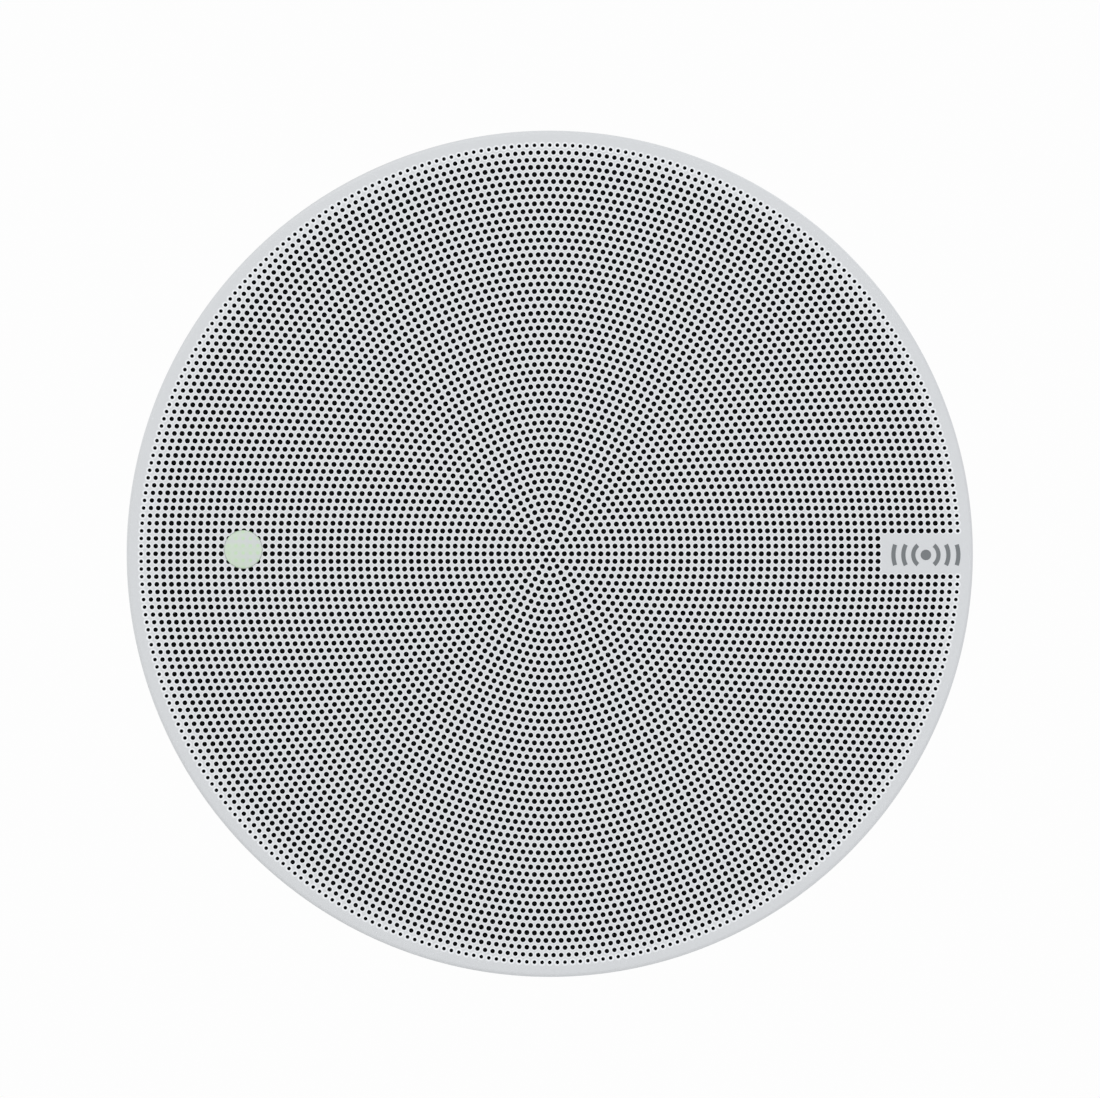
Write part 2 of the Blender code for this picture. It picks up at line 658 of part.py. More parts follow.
def make_case():
    x, y, wall = CASE_HALF_X, CASE_HALF_Y, CASE_WALL
    case = blocks("electronics_case", [((-x, -y, CASE_BACK), (x, y, CASE_FRONT))], "grey_plastic")
    floor = CASE_FRONT - wall
    rooms = [
        ((-x + wall, -y + wall, CASE_BACK - 5 * MM), (PARTITION - wall / 2, y - wall, floor)),
        ((PARTITION + wall / 2, -y + wall, CASE_BACK - 5 * MM), (x - wall, y - wall, floor)),
    ]
    bay_middle = (PARTITION + x) / 2
    entry_z = (CASE_BACK + floor) / 2
    entry = rods("cable_entry", 8 * MM, [((bay_middle, -y - 5 * MM, entry_z), (bay_middle, -y + 5 * MM, entry_z))], None, 20)
    lead_slot = blocks("lead_slot", [((PARTITION - 5 * MM, 40 * MM, CASE_BACK - 5 * MM), (PARTITION + 5 * MM, 46 * MM, -116 * MM))])
    cut(case, blocks("case_rooms", rooms), entry, lead_slot)
    lead_hole = rods("case_lead_hole", 5 * MM, [((0, 0, CASE_FRONT - 10 * MM), (0, 0, CASE_FRONT + 5 * MM))])
    cut(case, lead_hole)

    ends = [(HINGE_FROM, HINGE_FROM + 8 * MM), (HINGE_TO - 8 * MM, HINGE_TO)]
    webs = [((a + 0.5 * MM, y - 1 * MM, HINGE_Z), (b - 0.5 * MM, HINGE_Y, CASE_BACK + 6 * MM)) for a, b in ends]
    knuckles = [((a, HINGE_Y, HINGE_Z), (b, HINGE_Y, HINGE_Z)) for a, b in ends]
    corner_gap = blocks("web_relief", [((0, 0, CASE_BACK - 10 * MM), (x, y + 0.5 * MM, CASE_BACK))])
    web_pieces = blocks("hinge_webs", webs)
    cut(web_pieces, corner_gap)
    fuse(case, web_pieces, rods("case_knuckles", KNUCKLE_RADIUS, knuckles))
    pin_hole = [((HINGE_FROM - 5 * MM, HINGE_Y, HINGE_Z), (HINGE_TO + 5 * MM, HINGE_Y, HINGE_Z))]
    cut(case, rods("case_pin_hole", PIN_RADIUS + GAP, pin_hole, None, 12))

    rods("hinge_pin", PIN_RADIUS, [((HINGE_FROM, HINGE_Y, HINGE_Z), (HINGE_TO, HINGE_Y, HINGE_Z))], "zinc", 12)

    # The grommet is turned, with a groove that the wall's edge sits in, and a closed membrane.
    groove, lip = 8 * MM - GAP, 10 * MM
    half = wall / 2 + GAP
    grommet = [
        (0, half + 1.8 * MM),
        (4 * MM, half + 1.8 * MM),
        (5 * MM, half + 1.2 * MM),
        (lip, half + 1.2 * MM),
        (lip, half),
        (groove, half),
        (groove, -half),
        (lip, -half),
        (lip, -half - 1.2 * MM),
        (7 * MM, -half - 1.2 * MM),
        (6 * MM, half - 0.2 * MM),
        (0, half + 0.4 * MM),
    ]
    plug = turned("cable_grommet", grommet, "rubber", 20, (bay_middle, -y + wall / 2, entry_z))
    plug.rotation_euler = (math.radians(90), 0, 0)


def make_covers():
    x, y = CASE_HALF_X, CASE_HALF_Y
    front = CASE_BACK - GAP
    split = PARTITION
    sink = blocks("heat_sink_cover", [((-x, -y, front - 3 * MM), (split - GAP, y, front))], "aluminium")
    fin, fin_count = 2 * MM, 11
    first, last = -x + 4 * MM, split - 6 * MM
    fins = []
    for number in range(fin_count):
        left = first + (last - first - fin) * number / (fin_count - 1)
        fins.append(((left, -y + 5 * MM, front - 15 * MM), (left + fin, y - 5 * MM, front - 2 * MM)))
    fuse(sink, blocks("fins", fins))

    cover = blocks("connection_cover", [((split + GAP, -y, front - COVER), (x, y, front))], "grey_plastic")
    inner = (HINGE_FROM + 8.5 * MM, HINGE_TO - 8.5 * MM)
    web = [((inner[0] + 0.5 * MM, y - 1 * MM, front - COVER + 0.2 * MM), (inner[1] - 0.5 * MM, HINGE_Y, front - 0.2 * MM))]
    knuckle = [((inner[0], HINGE_Y, HINGE_Z), (inner[1], HINGE_Y, HINGE_Z))]
    ribs = [((30 * MM, -y + r * MM, front - COVER - 1.2 * MM), (66 * MM, -y + (r + 2) * MM, front - COVER + 0.5 * MM)) for r in (6, 10, 14)]
    fuse(cover, blocks("cover_web", web), rods("cover_knuckle", KNUCKLE_RADIUS, knuckle), blocks("grip_ribs", ribs))
    pin_hole = [((HINGE_FROM - 5 * MM, HINGE_Y, HINGE_Z), (HINGE_TO + 5 * MM, HINGE_Y, HINGE_Z))]
    cut(cover, rods("cover_pin_hole", PIN_RADIUS + GAP, pin_hole, None, 12))


def make_boards():
    back = BOARD_FRONT - BOARD
    bite = 0.3 * MM
    main = blocks("main_board", [((-68 * MM, -46 * MM, back), (16 * MM, 46 * MM, BOARD_FRONT))], "board_green")
    parts = [
        ((-60 * MM, 14 * MM, back - 13 * MM), (-36 * MM, 36 * MM, back + bite)),
        ((-28 * MM, 18 * MM, back - 9 * MM), (-14 * MM, 32 * MM, back + bite)),
        ((-6 * MM, 20 * MM, back - 9 * MM), (8 * MM, 34 * MM, back + bite)),
        ((-58 * MM, -20 * MM, back - 2 * MM), (-42 * MM, -4 * MM, back + bite)),
        ((-34 * MM, -34 * MM, back - 2.5 * MM), (-22 * MM, -22 * MM, back + bite)),
    ]
    cans = [((cx * MM, cy * MM, back + bite), (cx * MM, cy * MM, back - 12 * MM)) for cx, cy in ((-8, -20), (6, -20), (-8, -36))]
    fuse(main, blocks("board_parts", parts), rods("capacitors", 5 * MM, cans, None, 12))

    connector = blocks("connector_board", [((27 * MM, -4 * MM, back), (70 * MM, 48 * MM, BOARD_FRONT))], "board_green")
    bx, by = BUTTON_AT
    switch = [((bx - 3.5 * MM, by - 3.5 * MM, back - 4 * MM), (bx + 3.5 * MM, by + 3.5 * MM, back + bite))]
    fuse(connector, blocks("switch_body", switch))
    bore = rods("switch_bore", 2 * MM + GAP, [((bx, by, back - 1 * MM), (bx, by, back - 10 * MM))], None, 12)
    cut(connector, bore)
    rods("control_button", 2 * MM, [((bx, by, back - 2.2 * MM), (bx, by, back - 7 * MM))], "black_plastic", 12)

    seat = back - GAP
    jack = blocks("network_jack", [((31 * MM, 24 * MM, seat - 13.6 * MM), (47 * MM, 46 * MM, seat))], "zinc")
    port = [((33 * MM, 18 * MM, seat - 11 * MM), (45 * MM, 38 * MM, seat - 3 * MM))]
    key = [((36.5 * MM, 18 * MM, seat - 12.6 * MM), (41.5 * MM, 37 * MM, seat - 10 * MM))]
    cut(jack, blocks("jack_port", port), blocks("jack_key", key))

    terminal = blocks("terminal_block", [((51 * MM, 30 * MM, seat - 10.5 * MM), (67 * MM, 46 * MM, seat))], "board_green")
    ways = [51 * MM + 2 * MM + 4 * MM * i for i in range(4)]
    wire = [((w - 1.2 * MM, 25 * MM, seat - 5 * MM), (w + 1.2 * MM, 38 * MM, seat - 2 * MM)) for w in ways]
    screw = [((w, 36 * MM, seat - 15 * MM), (w, 36 * MM, seat - 7 * MM)) for w in ways]
    cut(terminal, blocks("wire_ways", wire), rods("terminal_screws", 1.3 * MM, screw, None, 8))


def make_safety_lug():
    """A folded bracket on the can's back, with the hole for the safety line."""
    back = CAN_BACK - GAP
    half, sheet = 12 * MM, 2 * MM
    y, height = 76 * MM, 20 * MM
    lug = blocks("safety_lug", [((-half, y, back - sheet), (half, y + 18 * MM, back))], "zinc")
    fuse(lug, blocks("lug_upright", [((-half, y, back - height), (half, y + sheet, back - sheet / 2))]))
    eye = rods("lug_eye", 4.5 * MM, [((0, y - 5 * MM, back - 12 * MM), (0, y + 8 * MM, back - 12 * MM))])
    cut(lug, eye)


# --- Clamps ------------------------------------------------------------------


def make_arm(number, angle):
    """The dog-leg arm as stored: its bar lies along the tangent, and its foot faces the flange."""
    at = polar(CLAMP_CIRCLE, angle, ARM_HEIGHT)
    bottom, top, bar_top, foot_top = -9 * MM, 9 * MM, 0, 11 * MM
    side = [
        (0, bottom),
        (ARM_REACH, bottom),
        (ARM_REACH, foot_top),
        (ARM_REACH - 8 * MM, foot_top),
        (ARM_REACH - 10 * MM, bar_top + 2 * MM),
        (ARM_REACH - 13 * MM, bar_top),
        (0, bar_top),
    ]
    shape = bmesh.new()
    faces = []
    for x in (-ARM_HALF_WIDTH, ARM_HALF_WIDTH):
        faces.append(shape.faces.new([shape.verts.new((x, y, z)) for y, z in side]))
    bmesh.ops.bridge_loops(shape, edges=[edge for face in faces for edge in face.edges])
    bmesh.ops.recalc_face_normals(shape, faces=shape.faces)
    arm = from_bmesh(f"clamp_arm_{number}", shape, "black_plastic", at, angle)

    boss = [(0, top), (BOSS_RADIUS - 0.6 * MM, top), (BOSS_RADIUS, top - 0.6 * MM), (BOSS_RADIUS, bottom + 0.1 * MM), (0, bottom + 0.1 * MM)]
    fuse(arm, turned(f"arm_boss_{number}", boss, None, 20, at, angle))
    deep = 20 * MM
    base = Vector(at)
    bore = rods(f"arm_bore_{number}", CLAMP_SCREW_RADIUS + GAP, [(base - Vector((0, 0, deep)), base + Vector((0, 0, deep)))], None, 12)
    seat = rods(f"nut_seat_{number}", NUT_RADIUS + GAP, [(base - Vector((0, 0, deep)), base + Vector((0, 0, bar_top)))], None, 12)
    cut(arm, bore, seat)


def make_clamps():
    for number, angle in enumerate(CLAMP_ANGLES, 1):
        make_arm(number, angle)
        nut = ring(CLAMP_SCREW_RADIUS + GAP, NUT_RADIUS, -8.5 * MM, -GAP)
        turned(f"clamp_nut_{number}", nut, "brass", 12, polar(CLAMP_CIRCLE, angle, ARM_HEIGHT), angle)
        at = polar(CLAMP_CIRCLE, angle, FLANGE_FRONT + GAP)
        length = FLANGE_FRONT + GAP - CLAMP_SCREW_TIP
        pan_screw(f"clamp_screw_{number}", 4.5 * MM, 3 * MM, CLAMP_SCREW_RADIUS, length, at, angle)


make_grille()
make_baffle()
make_sensor()
make_basket()
make_tweeter(make_motor())
make_moving_coil()
make_can()
make_case()
make_covers()
make_boards()
make_safety_lug()
make_clamps()
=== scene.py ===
"""The looks of the ceiling alarm speaker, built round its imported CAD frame.

Pieces are made in bench coordinates, in mm: x to the right and y up as someone in the room sees the face,
and z towards them. The BENCH matrix turns those into the frame's coordinates, in metres.
"""

import json
import math

import bmesh
import bpy
from mathutils import Matrix, Vector
from mathutils.geometry import delaunay_2d_cdt


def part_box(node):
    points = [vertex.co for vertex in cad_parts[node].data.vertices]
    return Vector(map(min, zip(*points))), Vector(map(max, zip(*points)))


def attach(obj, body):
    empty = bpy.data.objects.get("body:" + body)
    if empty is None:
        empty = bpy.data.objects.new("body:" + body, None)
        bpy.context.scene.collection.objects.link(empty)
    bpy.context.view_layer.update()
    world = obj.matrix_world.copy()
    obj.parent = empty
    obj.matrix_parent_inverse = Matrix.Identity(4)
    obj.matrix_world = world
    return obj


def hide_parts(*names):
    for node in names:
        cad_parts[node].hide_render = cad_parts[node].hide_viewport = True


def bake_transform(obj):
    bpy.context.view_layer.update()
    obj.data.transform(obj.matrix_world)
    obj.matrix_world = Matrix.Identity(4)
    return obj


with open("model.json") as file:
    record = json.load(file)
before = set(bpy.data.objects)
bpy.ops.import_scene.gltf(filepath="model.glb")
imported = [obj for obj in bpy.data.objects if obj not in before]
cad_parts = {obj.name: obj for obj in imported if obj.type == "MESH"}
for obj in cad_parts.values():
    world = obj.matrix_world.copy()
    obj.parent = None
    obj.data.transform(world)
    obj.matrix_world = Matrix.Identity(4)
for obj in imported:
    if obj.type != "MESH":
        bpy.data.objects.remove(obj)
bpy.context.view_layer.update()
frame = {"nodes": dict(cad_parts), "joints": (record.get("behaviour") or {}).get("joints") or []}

MM = 0.001
BENCH = Matrix.Rotation(math.radians(90), 4, "X") @ Matrix.Scale(MM, 4)
SWAP_XY = Matrix(((0, 1, 0, 0), (1, 0, 0, 0), (0, 0, 1, 0), (0, 0, 0, 1)))
NODES = frame["nodes"]
# Edges that turn by more than this, in degrees, are shaded sharp.
SHARP_ANGLE = 38
JOINTS = {joint["name"]: joint for joint in frame["joints"]}

# Perforation: a hole in the middle, and rings of 6, 12, 18 ... holes round it
PITCH = 2.5
RINGS = 56
HOLE_RADIUS = 0.925
RIM_HOLE_RADII = {54: 0.87, 55: 0.82, 56: 0.67}
PAD_FIRST_RING = 46
PAD_HALF_COUNT = 2

# Sheet
GRILLE_RADIUS = 145
FACE = 11
SHEET = 1
BEND = 1.5
SKIRT_END = 1.2
SENSOR = Vector((-105, 1.5))
WINDOW_RADIUS = 6.62
LENS_RADIUS = 6.56


# --- Materials ---


class Nodes:
    """A material's node tree, with short ways to add what the finishes use."""

    def __init__(self, name):
        self.material = bpy.data.materials.new(name)
        self.material.use_nodes = True
        self.tree = self.material.node_tree
        self.shader = self.tree.nodes["Principled BSDF"]
        self.place = self.tree.nodes.new("ShaderNodeTexCoord").outputs["Object"]

    def feed(self, node, inputs):
        """Gives a node its inputs, each a value or another node's socket."""
        for key, value in inputs.items():
            if isinstance(value, bpy.types.NodeSocket):
                self.tree.links.new(value, node.inputs[key])
            else:
                node.inputs[key].default_value = value

    def node(self, kind, inputs, output, **settings):
        """Adds a node and returns one of its outputs."""
        made = self.tree.nodes.new("ShaderNode" + kind)
        for key, value in settings.items():
            setattr(made, key, value)
        self.feed(made, inputs)
        return made.outputs[output]

    def noise(self, size, detail, stretch=(1, 1, 1)):
        """Noise whose features are about this size, in metres, from 0 to 1."""
        place = self.node("Mapping", {"Vector": self.place, "Scale": stretch}, 0)
        return self.node("TexNoise", {"Vector": place, "Scale": 1 / size, "Detail": detail}, "Fac")

    def math(self, operation, *values):
        return self.node("Math", dict(enumerate(values)), 0, operation=operation)

    def length(self, a, b):
        squares = [self.math("MULTIPLY", side, side) for side in (a, b)]
        return self.math("SQRT", self.math("ADD", *squares))

    def bands(self, axis, period, peak=0.0):
        """Waves along an axis, from 0 to 1, with their crests a period apart and one of them at peak."""
        phase = math.pi - 2 * math.pi * peak / period
        inputs = {"Vector": self.place, "Scale": math.pi / (10 * period), "Phase Offset": phase}
        return self.node("TexWave", inputs, "Fac", bands_direction=axis)

    def ramp(self, factor, low, high, from_low=0.3, from_high=0.7):
        inputs = {"Value": factor, "From Min": from_low, "From Max": from_high, "To Min": low, "To Max": high}
        return self.node("MapRange", inputs, "Result")

    def mix(self, factor, first, second):
        """A colour between two, each a colour or a socket."""
        a, b = ((*end, 1) if isinstance(end, tuple) else end for end in (first, second))
        return self.node("Mix", {0: factor, 6: a, 7: b}, 2, data_type="RGBA")

    def bump(self, height, distance):
        normal = self.node("Bump", {"Height": height, "Distance": distance}, "Normal")
        self.feed(self.shader, {"Normal": normal})


def shade(colour, factor):
    return tuple(min(1.0, c * factor) for c in colour)


def finish(name, colour, rough, metal=0.0, mottle=0.03, patch=30, grain=0.7, relief=0.02, spread=0.06):
    """A finish with slow colour variation, uneven roughness and a fine surface grain. Lengths are in mm."""
    n = Nodes(name)
    patches, sheen = n.noise(patch * MM, 4), n.noise(patch * MM / 3, 4)
    looks = {
        "Base Color": n.mix(patches, shade(colour, 1 - mottle), shade(colour, 1 + mottle)),
        "Roughness": n.ramp(sheen, rough - spread, rough + spread),
        "Metallic": metal,
    }
    n.feed(n.shader, looks)
    if relief:
        n.bump(n.noise(grain * MM, 2), relief * MM)
    return n


def grille_finish():
    """White powder coat, with a painted highlight: a little paler round each hole, standing in for light on
    the holes' rounded edges.
    """
    colour = (0.655, 0.672, 0.69)
    n = finish("white_powder_coat", colour, 0.55, mottle=0.008, patch=50, grain=0.6, relief=0.006)
    x, y = (n.node("SeparateXYZ", {0: n.place}, axis) for axis in "XZ")
    radius = n.length(x, y)
    ring = n.math("MINIMUM", n.math("ROUND", n.math("DIVIDE", radius, PITCH * MM)), RINGS)
    holes_per_radian = n.math("MULTIPLY", ring, 3 / math.pi)
    place_in_ring = n.math("MULTIPLY", n.math("ARCTAN2", y, x), holes_per_radian)
    k = n.math("ROUND", place_in_ring)
    turn = n.math("DIVIDE", n.math("SUBTRACT", place_in_ring, k), holes_per_radian)
    aside = n.math("MULTIPLY", turn, radius)
    out = n.math("SUBTRACT", radius, n.math("MULTIPLY", ring, PITCH * MM))
    # Painted highlight: paler close to each hole's edge, and left off the plain pad.
    near = n.ramp(n.length(aside, out), 1, 0, (HOLE_RADIUS + 0.05) * MM, (HOLE_RADIUS + 0.42) * MM)
    on_pad = n.math(
        "MULTIPLY",
        n.math("GREATER_THAN", ring, PAD_FIRST_RING - 0.5),
        n.math("LESS_THAN", n.math("ABSOLUTE", k), PAD_HALF_COUNT + 0.5),
    )
    plain = n.shader.inputs["Base Color"].links[0].from_socket
    hole_edge_highlight = n.math("MULTIPLY", near, n.math("SUBTRACT", 1.0, on_pad))
    n.feed(n.shader, {"Base Color": n.mix(hole_edge_highlight, plain, shade(colour, 1.3))})
    return n


def cloth_finish(name, colour, thread):
    """A plain weave: two sets of threads at right angles, whose thickness is given in mm. Its colour is
    painted shade in the gaps between the threads and painted light on their crests.
    """
    n = Nodes(name)
    weave = n.math("MAXIMUM", n.bands("X", 2 * thread * MM), n.bands("Z", 2 * thread * MM))
    # Painted shade in the gaps between threads, painted light on the threads' crests.
    weave_light_and_shade = n.mix(weave, shade(colour, 0.45), shade(colour, 1.25))
    n.feed(n.shader, {"Base Color": weave_light_and_shade, "Roughness": 0.95, "Specular IOR Level": 0.08})
    n.bump(weave, thread * 0.3 * MM)
    return n


def lens_finish():
    """Milky polyethylene: a grid of lenslets, each a little greener, under broad faint bands."""
    n = Nodes("lens_polyethylene")
    green, pale, grey = (0.575, 0.725, 0.53), (0.615, 0.715, 0.60), (0.64, 0.675, 0.67)
    bands = n.ramp(n.noise(6 * MM, 1, stretch=(0.3, 1, 1)), 0, 1, 0.4, 0.6)
    rows = n.bands("Z", PITCH * MM, (SENSOR.y + PITCH / 2) * MM)
    dots = n.math("MULTIPLY", n.bands("X", PITCH * MM, SENSOR.x * MM), rows)
    looks = {
        "Base Color": n.mix(n.ramp(dots, 0, 1, 0.25, 0.85), n.mix(bands, pale, grey), green),
        "Roughness": 0.38,
        "Subsurface Weight": 0.25,
        "Subsurface Radius": (1.5 * MM, 2 * MM, 1.5 * MM),
    }
    n.feed(n.shader, looks)
    n.bump(dots, 0.02 * MM)
    return n


# Name, colour, roughness, metallic, mottling, its size, the grain's size and its height, roughness spread
FINISHES = {
    "abs": ("white_moulded_abs", (0.62, 0.63, 0.635), 0.42, 0, 0.012, 60, 0.4, 0.01),
    "ink": ("grey_print", (0.17, 0.185, 0.195), 0.6, 0, 0.03, 4, 0.3, 0.004),
    "foam": ("closed_cell_foam", (0.03, 0.03, 0.031), 0.95, 0, 0.3, 2, 1.1, 0.18),
    "black_coat": ("black_powder_coat", (0.022, 0.023, 0.025), 0.36, 0, 0.06, 50, 0.8, 0.03),
    "nylon": ("black_nylon", (0.026, 0.026, 0.027), 0.45, 0, 0.1, 10, 0.5, 0.02),
    "grey_abs": ("grey_moulded_abs", (0.25, 0.26, 0.27), 0.45, 0, 0.03, 30, 0.5, 0.03),
    "zinc": ("bright_zinc", (0.66, 0.67, 0.66), 0.32, 1, 0.09, 5, 2.5, 0.002, 0.1),
    "brass": ("turned_brass", (0.76, 0.56, 0.27), 0.28, 1, 0.05, 4, 0.4, 0.006),
    "nickel": ("nickel_plate", (0.60, 0.58, 0.54), 0.27, 1, 0.03, 6, 2.5, 0.001),
    "alu": ("anodised_aluminium", (0.50, 0.51, 0.53), 0.4, 1, 0.03, 10, 0.4, 0.006),
    "ferrite": ("ferrite", (0.05, 0.05, 0.055), 0.7, 0, 0.2, 5, 0.8, 0.04),
    "paper": ("pressed_paper", (0.03, 0.03, 0.031), 0.85, 0, 0.25, 3, 0.8, 0.08),
    "rubber": ("butyl_rubber", (0.025, 0.025, 0.026), 0.55, 0, 0.1, 10, 0.5, 0.02),
    "silk": ("coated_silk", (0.045, 0.045, 0.05), 0.4, 0, 0.1, 2, 0.3, 0.02),
    "copper": ("coil_winding", (0.55, 0.26, 0.13), 0.35, 1, 0.08, 3, 0.3, 0.04),
    "board": ("solder_mask", (0.012, 0.12, 0.05), 0.3, 0, 0.15, 4, 1.2, 0.03),
    "terminal": ("green_polyamide", (0.03, 0.27, 0.1), 0.45, 0, 0.05, 4, 0.4, 0.01),
    "felt": ("damping_wool", (0.5, 0.5, 0.48), 1.0, 0, 0.2, 4, 1.5, 0.6),
}
MATERIALS = {key: finish(*values).material for key, values in FINISHES.items()}
MATERIALS["white"] = grille_finish().material
MATERIALS["lens"] = lens_finish().material
MATERIALS["cloth"] = cloth_finish("acoustic_cloth", (0.008, 0.0085, 0.009), 0.35).material
MATERIALS["linen"] = cloth_finish("resin_linen", (0.52, 0.36, 0.14), 0.6).material

# Each material's usual slot
SLOTS = {"white": "grille_paint", "cloth": "acoustic_cloth", "lens": "lens_plastic", "silk": "dome_silk"}
SLOTS |= {"black_coat": "black_steel", "zinc": "zinc_steel", "alu": "aluminium", "paper": "cone_paper"}
SLOTS |= {"rubber": "surround_rubber", "linen": "spider_linen", "grey_abs": "grey_plastic"}
SLOTS |= {"nylon": "black_plastic", "ink": "black_plastic", "brass": "brass", "nickel": "nickel"}
SLOTS |= {"board": "circuit_board", "terminal": "terminal_green"}


# --- Mesh helpers ---


def add_object(name, data):
    made = bpy.data.objects.new(name, data)
    bpy.context.scene.collection.objects.link(made)
    return made


def place(name, mesh, material, node=None, body="housing", slot=None, smooth=SHARP_ANGLE):
    """Puts a bench mesh into the scene, in the row frame, riding on a body and standing for a node."""
    mesh.transform(BENCH)
    mesh.materials.clear()
    mesh.materials.append(MATERIALS[material])
    mesh.shade_smooth()
    mesh.set_sharp_from_angle(angle=math.radians(smooth))
    piece = add_object(name, mesh)
    if body:
        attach(piece, body)
    if node:
        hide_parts(node)
    return piece


def arc(centre, radius, start, end, steps):
    """Points on an arc. Angles are in degrees, from the first coordinate's direction towards the second's."""
    angles = [math.radians(start + (end - start) * i / steps) for i in range(steps + 1)]
    return [Vector((centre[0] + radius * math.cos(a), centre[1] + radius * math.sin(a))) for a in angles]


def circle_points(centre, radius, count):
    return arc(centre, radius, 0, 360, count)[:-1]


def each_side(loop):
    """Each item of a loop with the next one, round to the first."""
    return zip(loop, loop[1:] + loop[:1])


def inside(point, polygon):
    """True if the point lies in this convex polygon, given anticlockwise."""
    for a, b in each_side(polygon):
        if (b[0] - a[0]) * (point[1] - a[1]) - (b[1] - a[1]) * (point[0] - a[0]) < 0:
            return False
    return True


class Plate:
    """A flat sheet with two faces, built up from polygons and cut edges given in the plane."""

    def __init__(self, front, back):
        self.heights = (front, back)
        self.points, self.keys, self.faces = [], {}, []

    def point(self, x, y):
        """The number of the point here, which is new unless the same place was given before."""
        key = (round(x * 1e4), round(y * 1e4))
        if key not in self.keys:
            self.keys[key] = len(self.points)
            self.points.append((x, y))
        return self.keys[key]

    def face(self, numbers):
        """A polygon on both faces, given anticlockwise as seen from the front."""
        self.faces.append([2 * n for n in numbers])
        self.faces.append([2 * n + 1 for n in reversed(numbers)])

    def wall(self, a, b):
        """The cut edge from a to b, with the sheet on its left."""
        self.faces.append([2 * b, 2 * a, 2 * a + 1, 2 * b + 1])

    def vertices(self):
        return [(x, y, z) for x, y in self.points for z in self.heights]


def fill(plate, outline, holes, keep):
    """Triangulates the ground between an outline's edges and the holes, which may cross each other.
    keep says whether a point is ground."""
    points, edges = [], []
    for loop in holes:
        first = len(points)
        points += loop
        edges += [(first + i, first + (i + 1) % len(loop)) for i in range(len(loop))]
    for a, b in outline:
        points += [Vector(a), Vector(b)]
        edges.append((len(points) - 2, len(points) - 1))
    found, _, triangles, *_ = delaunay_2d_cdt(points, edges, [], 0, 1e-6)
    numbers = [plate.point(*p) for p in found]
    border = {frozenset((plate.point(*a), plate.point(*b))) for a, b in outline}
    # Each triangle's sides, in order. A side that no neighbour has the other way round is a cut edge.
    met = {}
    for corners in triangles:
        if not keep(sum((found[c] for c in corners), Vector((0, 0))) / 3):
            continue
        corners = [numbers[c] for c in corners]
        if len(set(corners)) < 3:
            continue
        plate.face(corners)
        met.update(dict.fromkeys(each_side(corners)))
    for a, b in met:
        if (b, a) not in met and frozenset((a, b)) not in border:
            plate.wall(a, b)


# --- Grille ---


def hole_centre(ring, k):
    if ring == 0:
        return Vector((0, 0))
    angle = 2 * math.pi * k / (6 * ring)
    return Vector((ring * PITCH * math.cos(angle), ring * PITCH * math.sin(angle)))


def junctions(ring):
    """The corners of the cells between a ring and the next: the middles of the triangles with two points
    on the outer ring, and of those with two on the inner one."""
    up, down = [], []
    for sector in range(6):
        for i in range(ring + 1):
            inner = hole_centre(ring, sector * ring + i)
            outer = [hole_centre(ring + 1, sector * (ring + 1) + i + step) for step in (0, 1)]
            up.append((inner + outer[0] + outer[1]) / 3)
        for i in range(ring):
            outer = hole_centre(ring + 1, sector * (ring + 1) + i + 1)
            inner = [hole_centre(ring, sector * ring + i + step) for step in (0, 1)]
            down.append((outer + inner[0] + inner[1]) / 3)
    return up, down


def cell(ring, k, up, down):
    """The six corners of the cell round a hole, anticlockwise."""
    if ring == 0:
        return up[0]
    sector, i = divmod(k, ring)
    corners = [up[ring][k + sector], down[ring][k], up[ring - 1][k]]
    if i:
        corners.append(down[ring - 1][k - sector - 1])
    corners += [up[ring - 1][k - 1], down[ring][k - 1]]
    if not i:
        corners.append(up[ring][k + sector - 1])
    return corners


def hole_outline(centre, corners, radius):
    """Twelve points round a hole: one towards each corner of its cell, and one between each two."""
    angles = [math.atan2(*(corner - centre).yx) for corner in corners]
    outline = []
    for a, b in each_side(angles):
        step = (b - a) % (2 * math.pi)
        for angle in (a, a + step / 2):
            outline.append(centre + radius * Vector((math.cos(angle), math.sin(angle))))
    return outline


def is_plain(ring, k):
    """True on the pad at the right, which has no holes."""
    return ring >= PAD_FIRST_RING and min(k, 6 * ring - k) <= PAD_HALF_COUNT


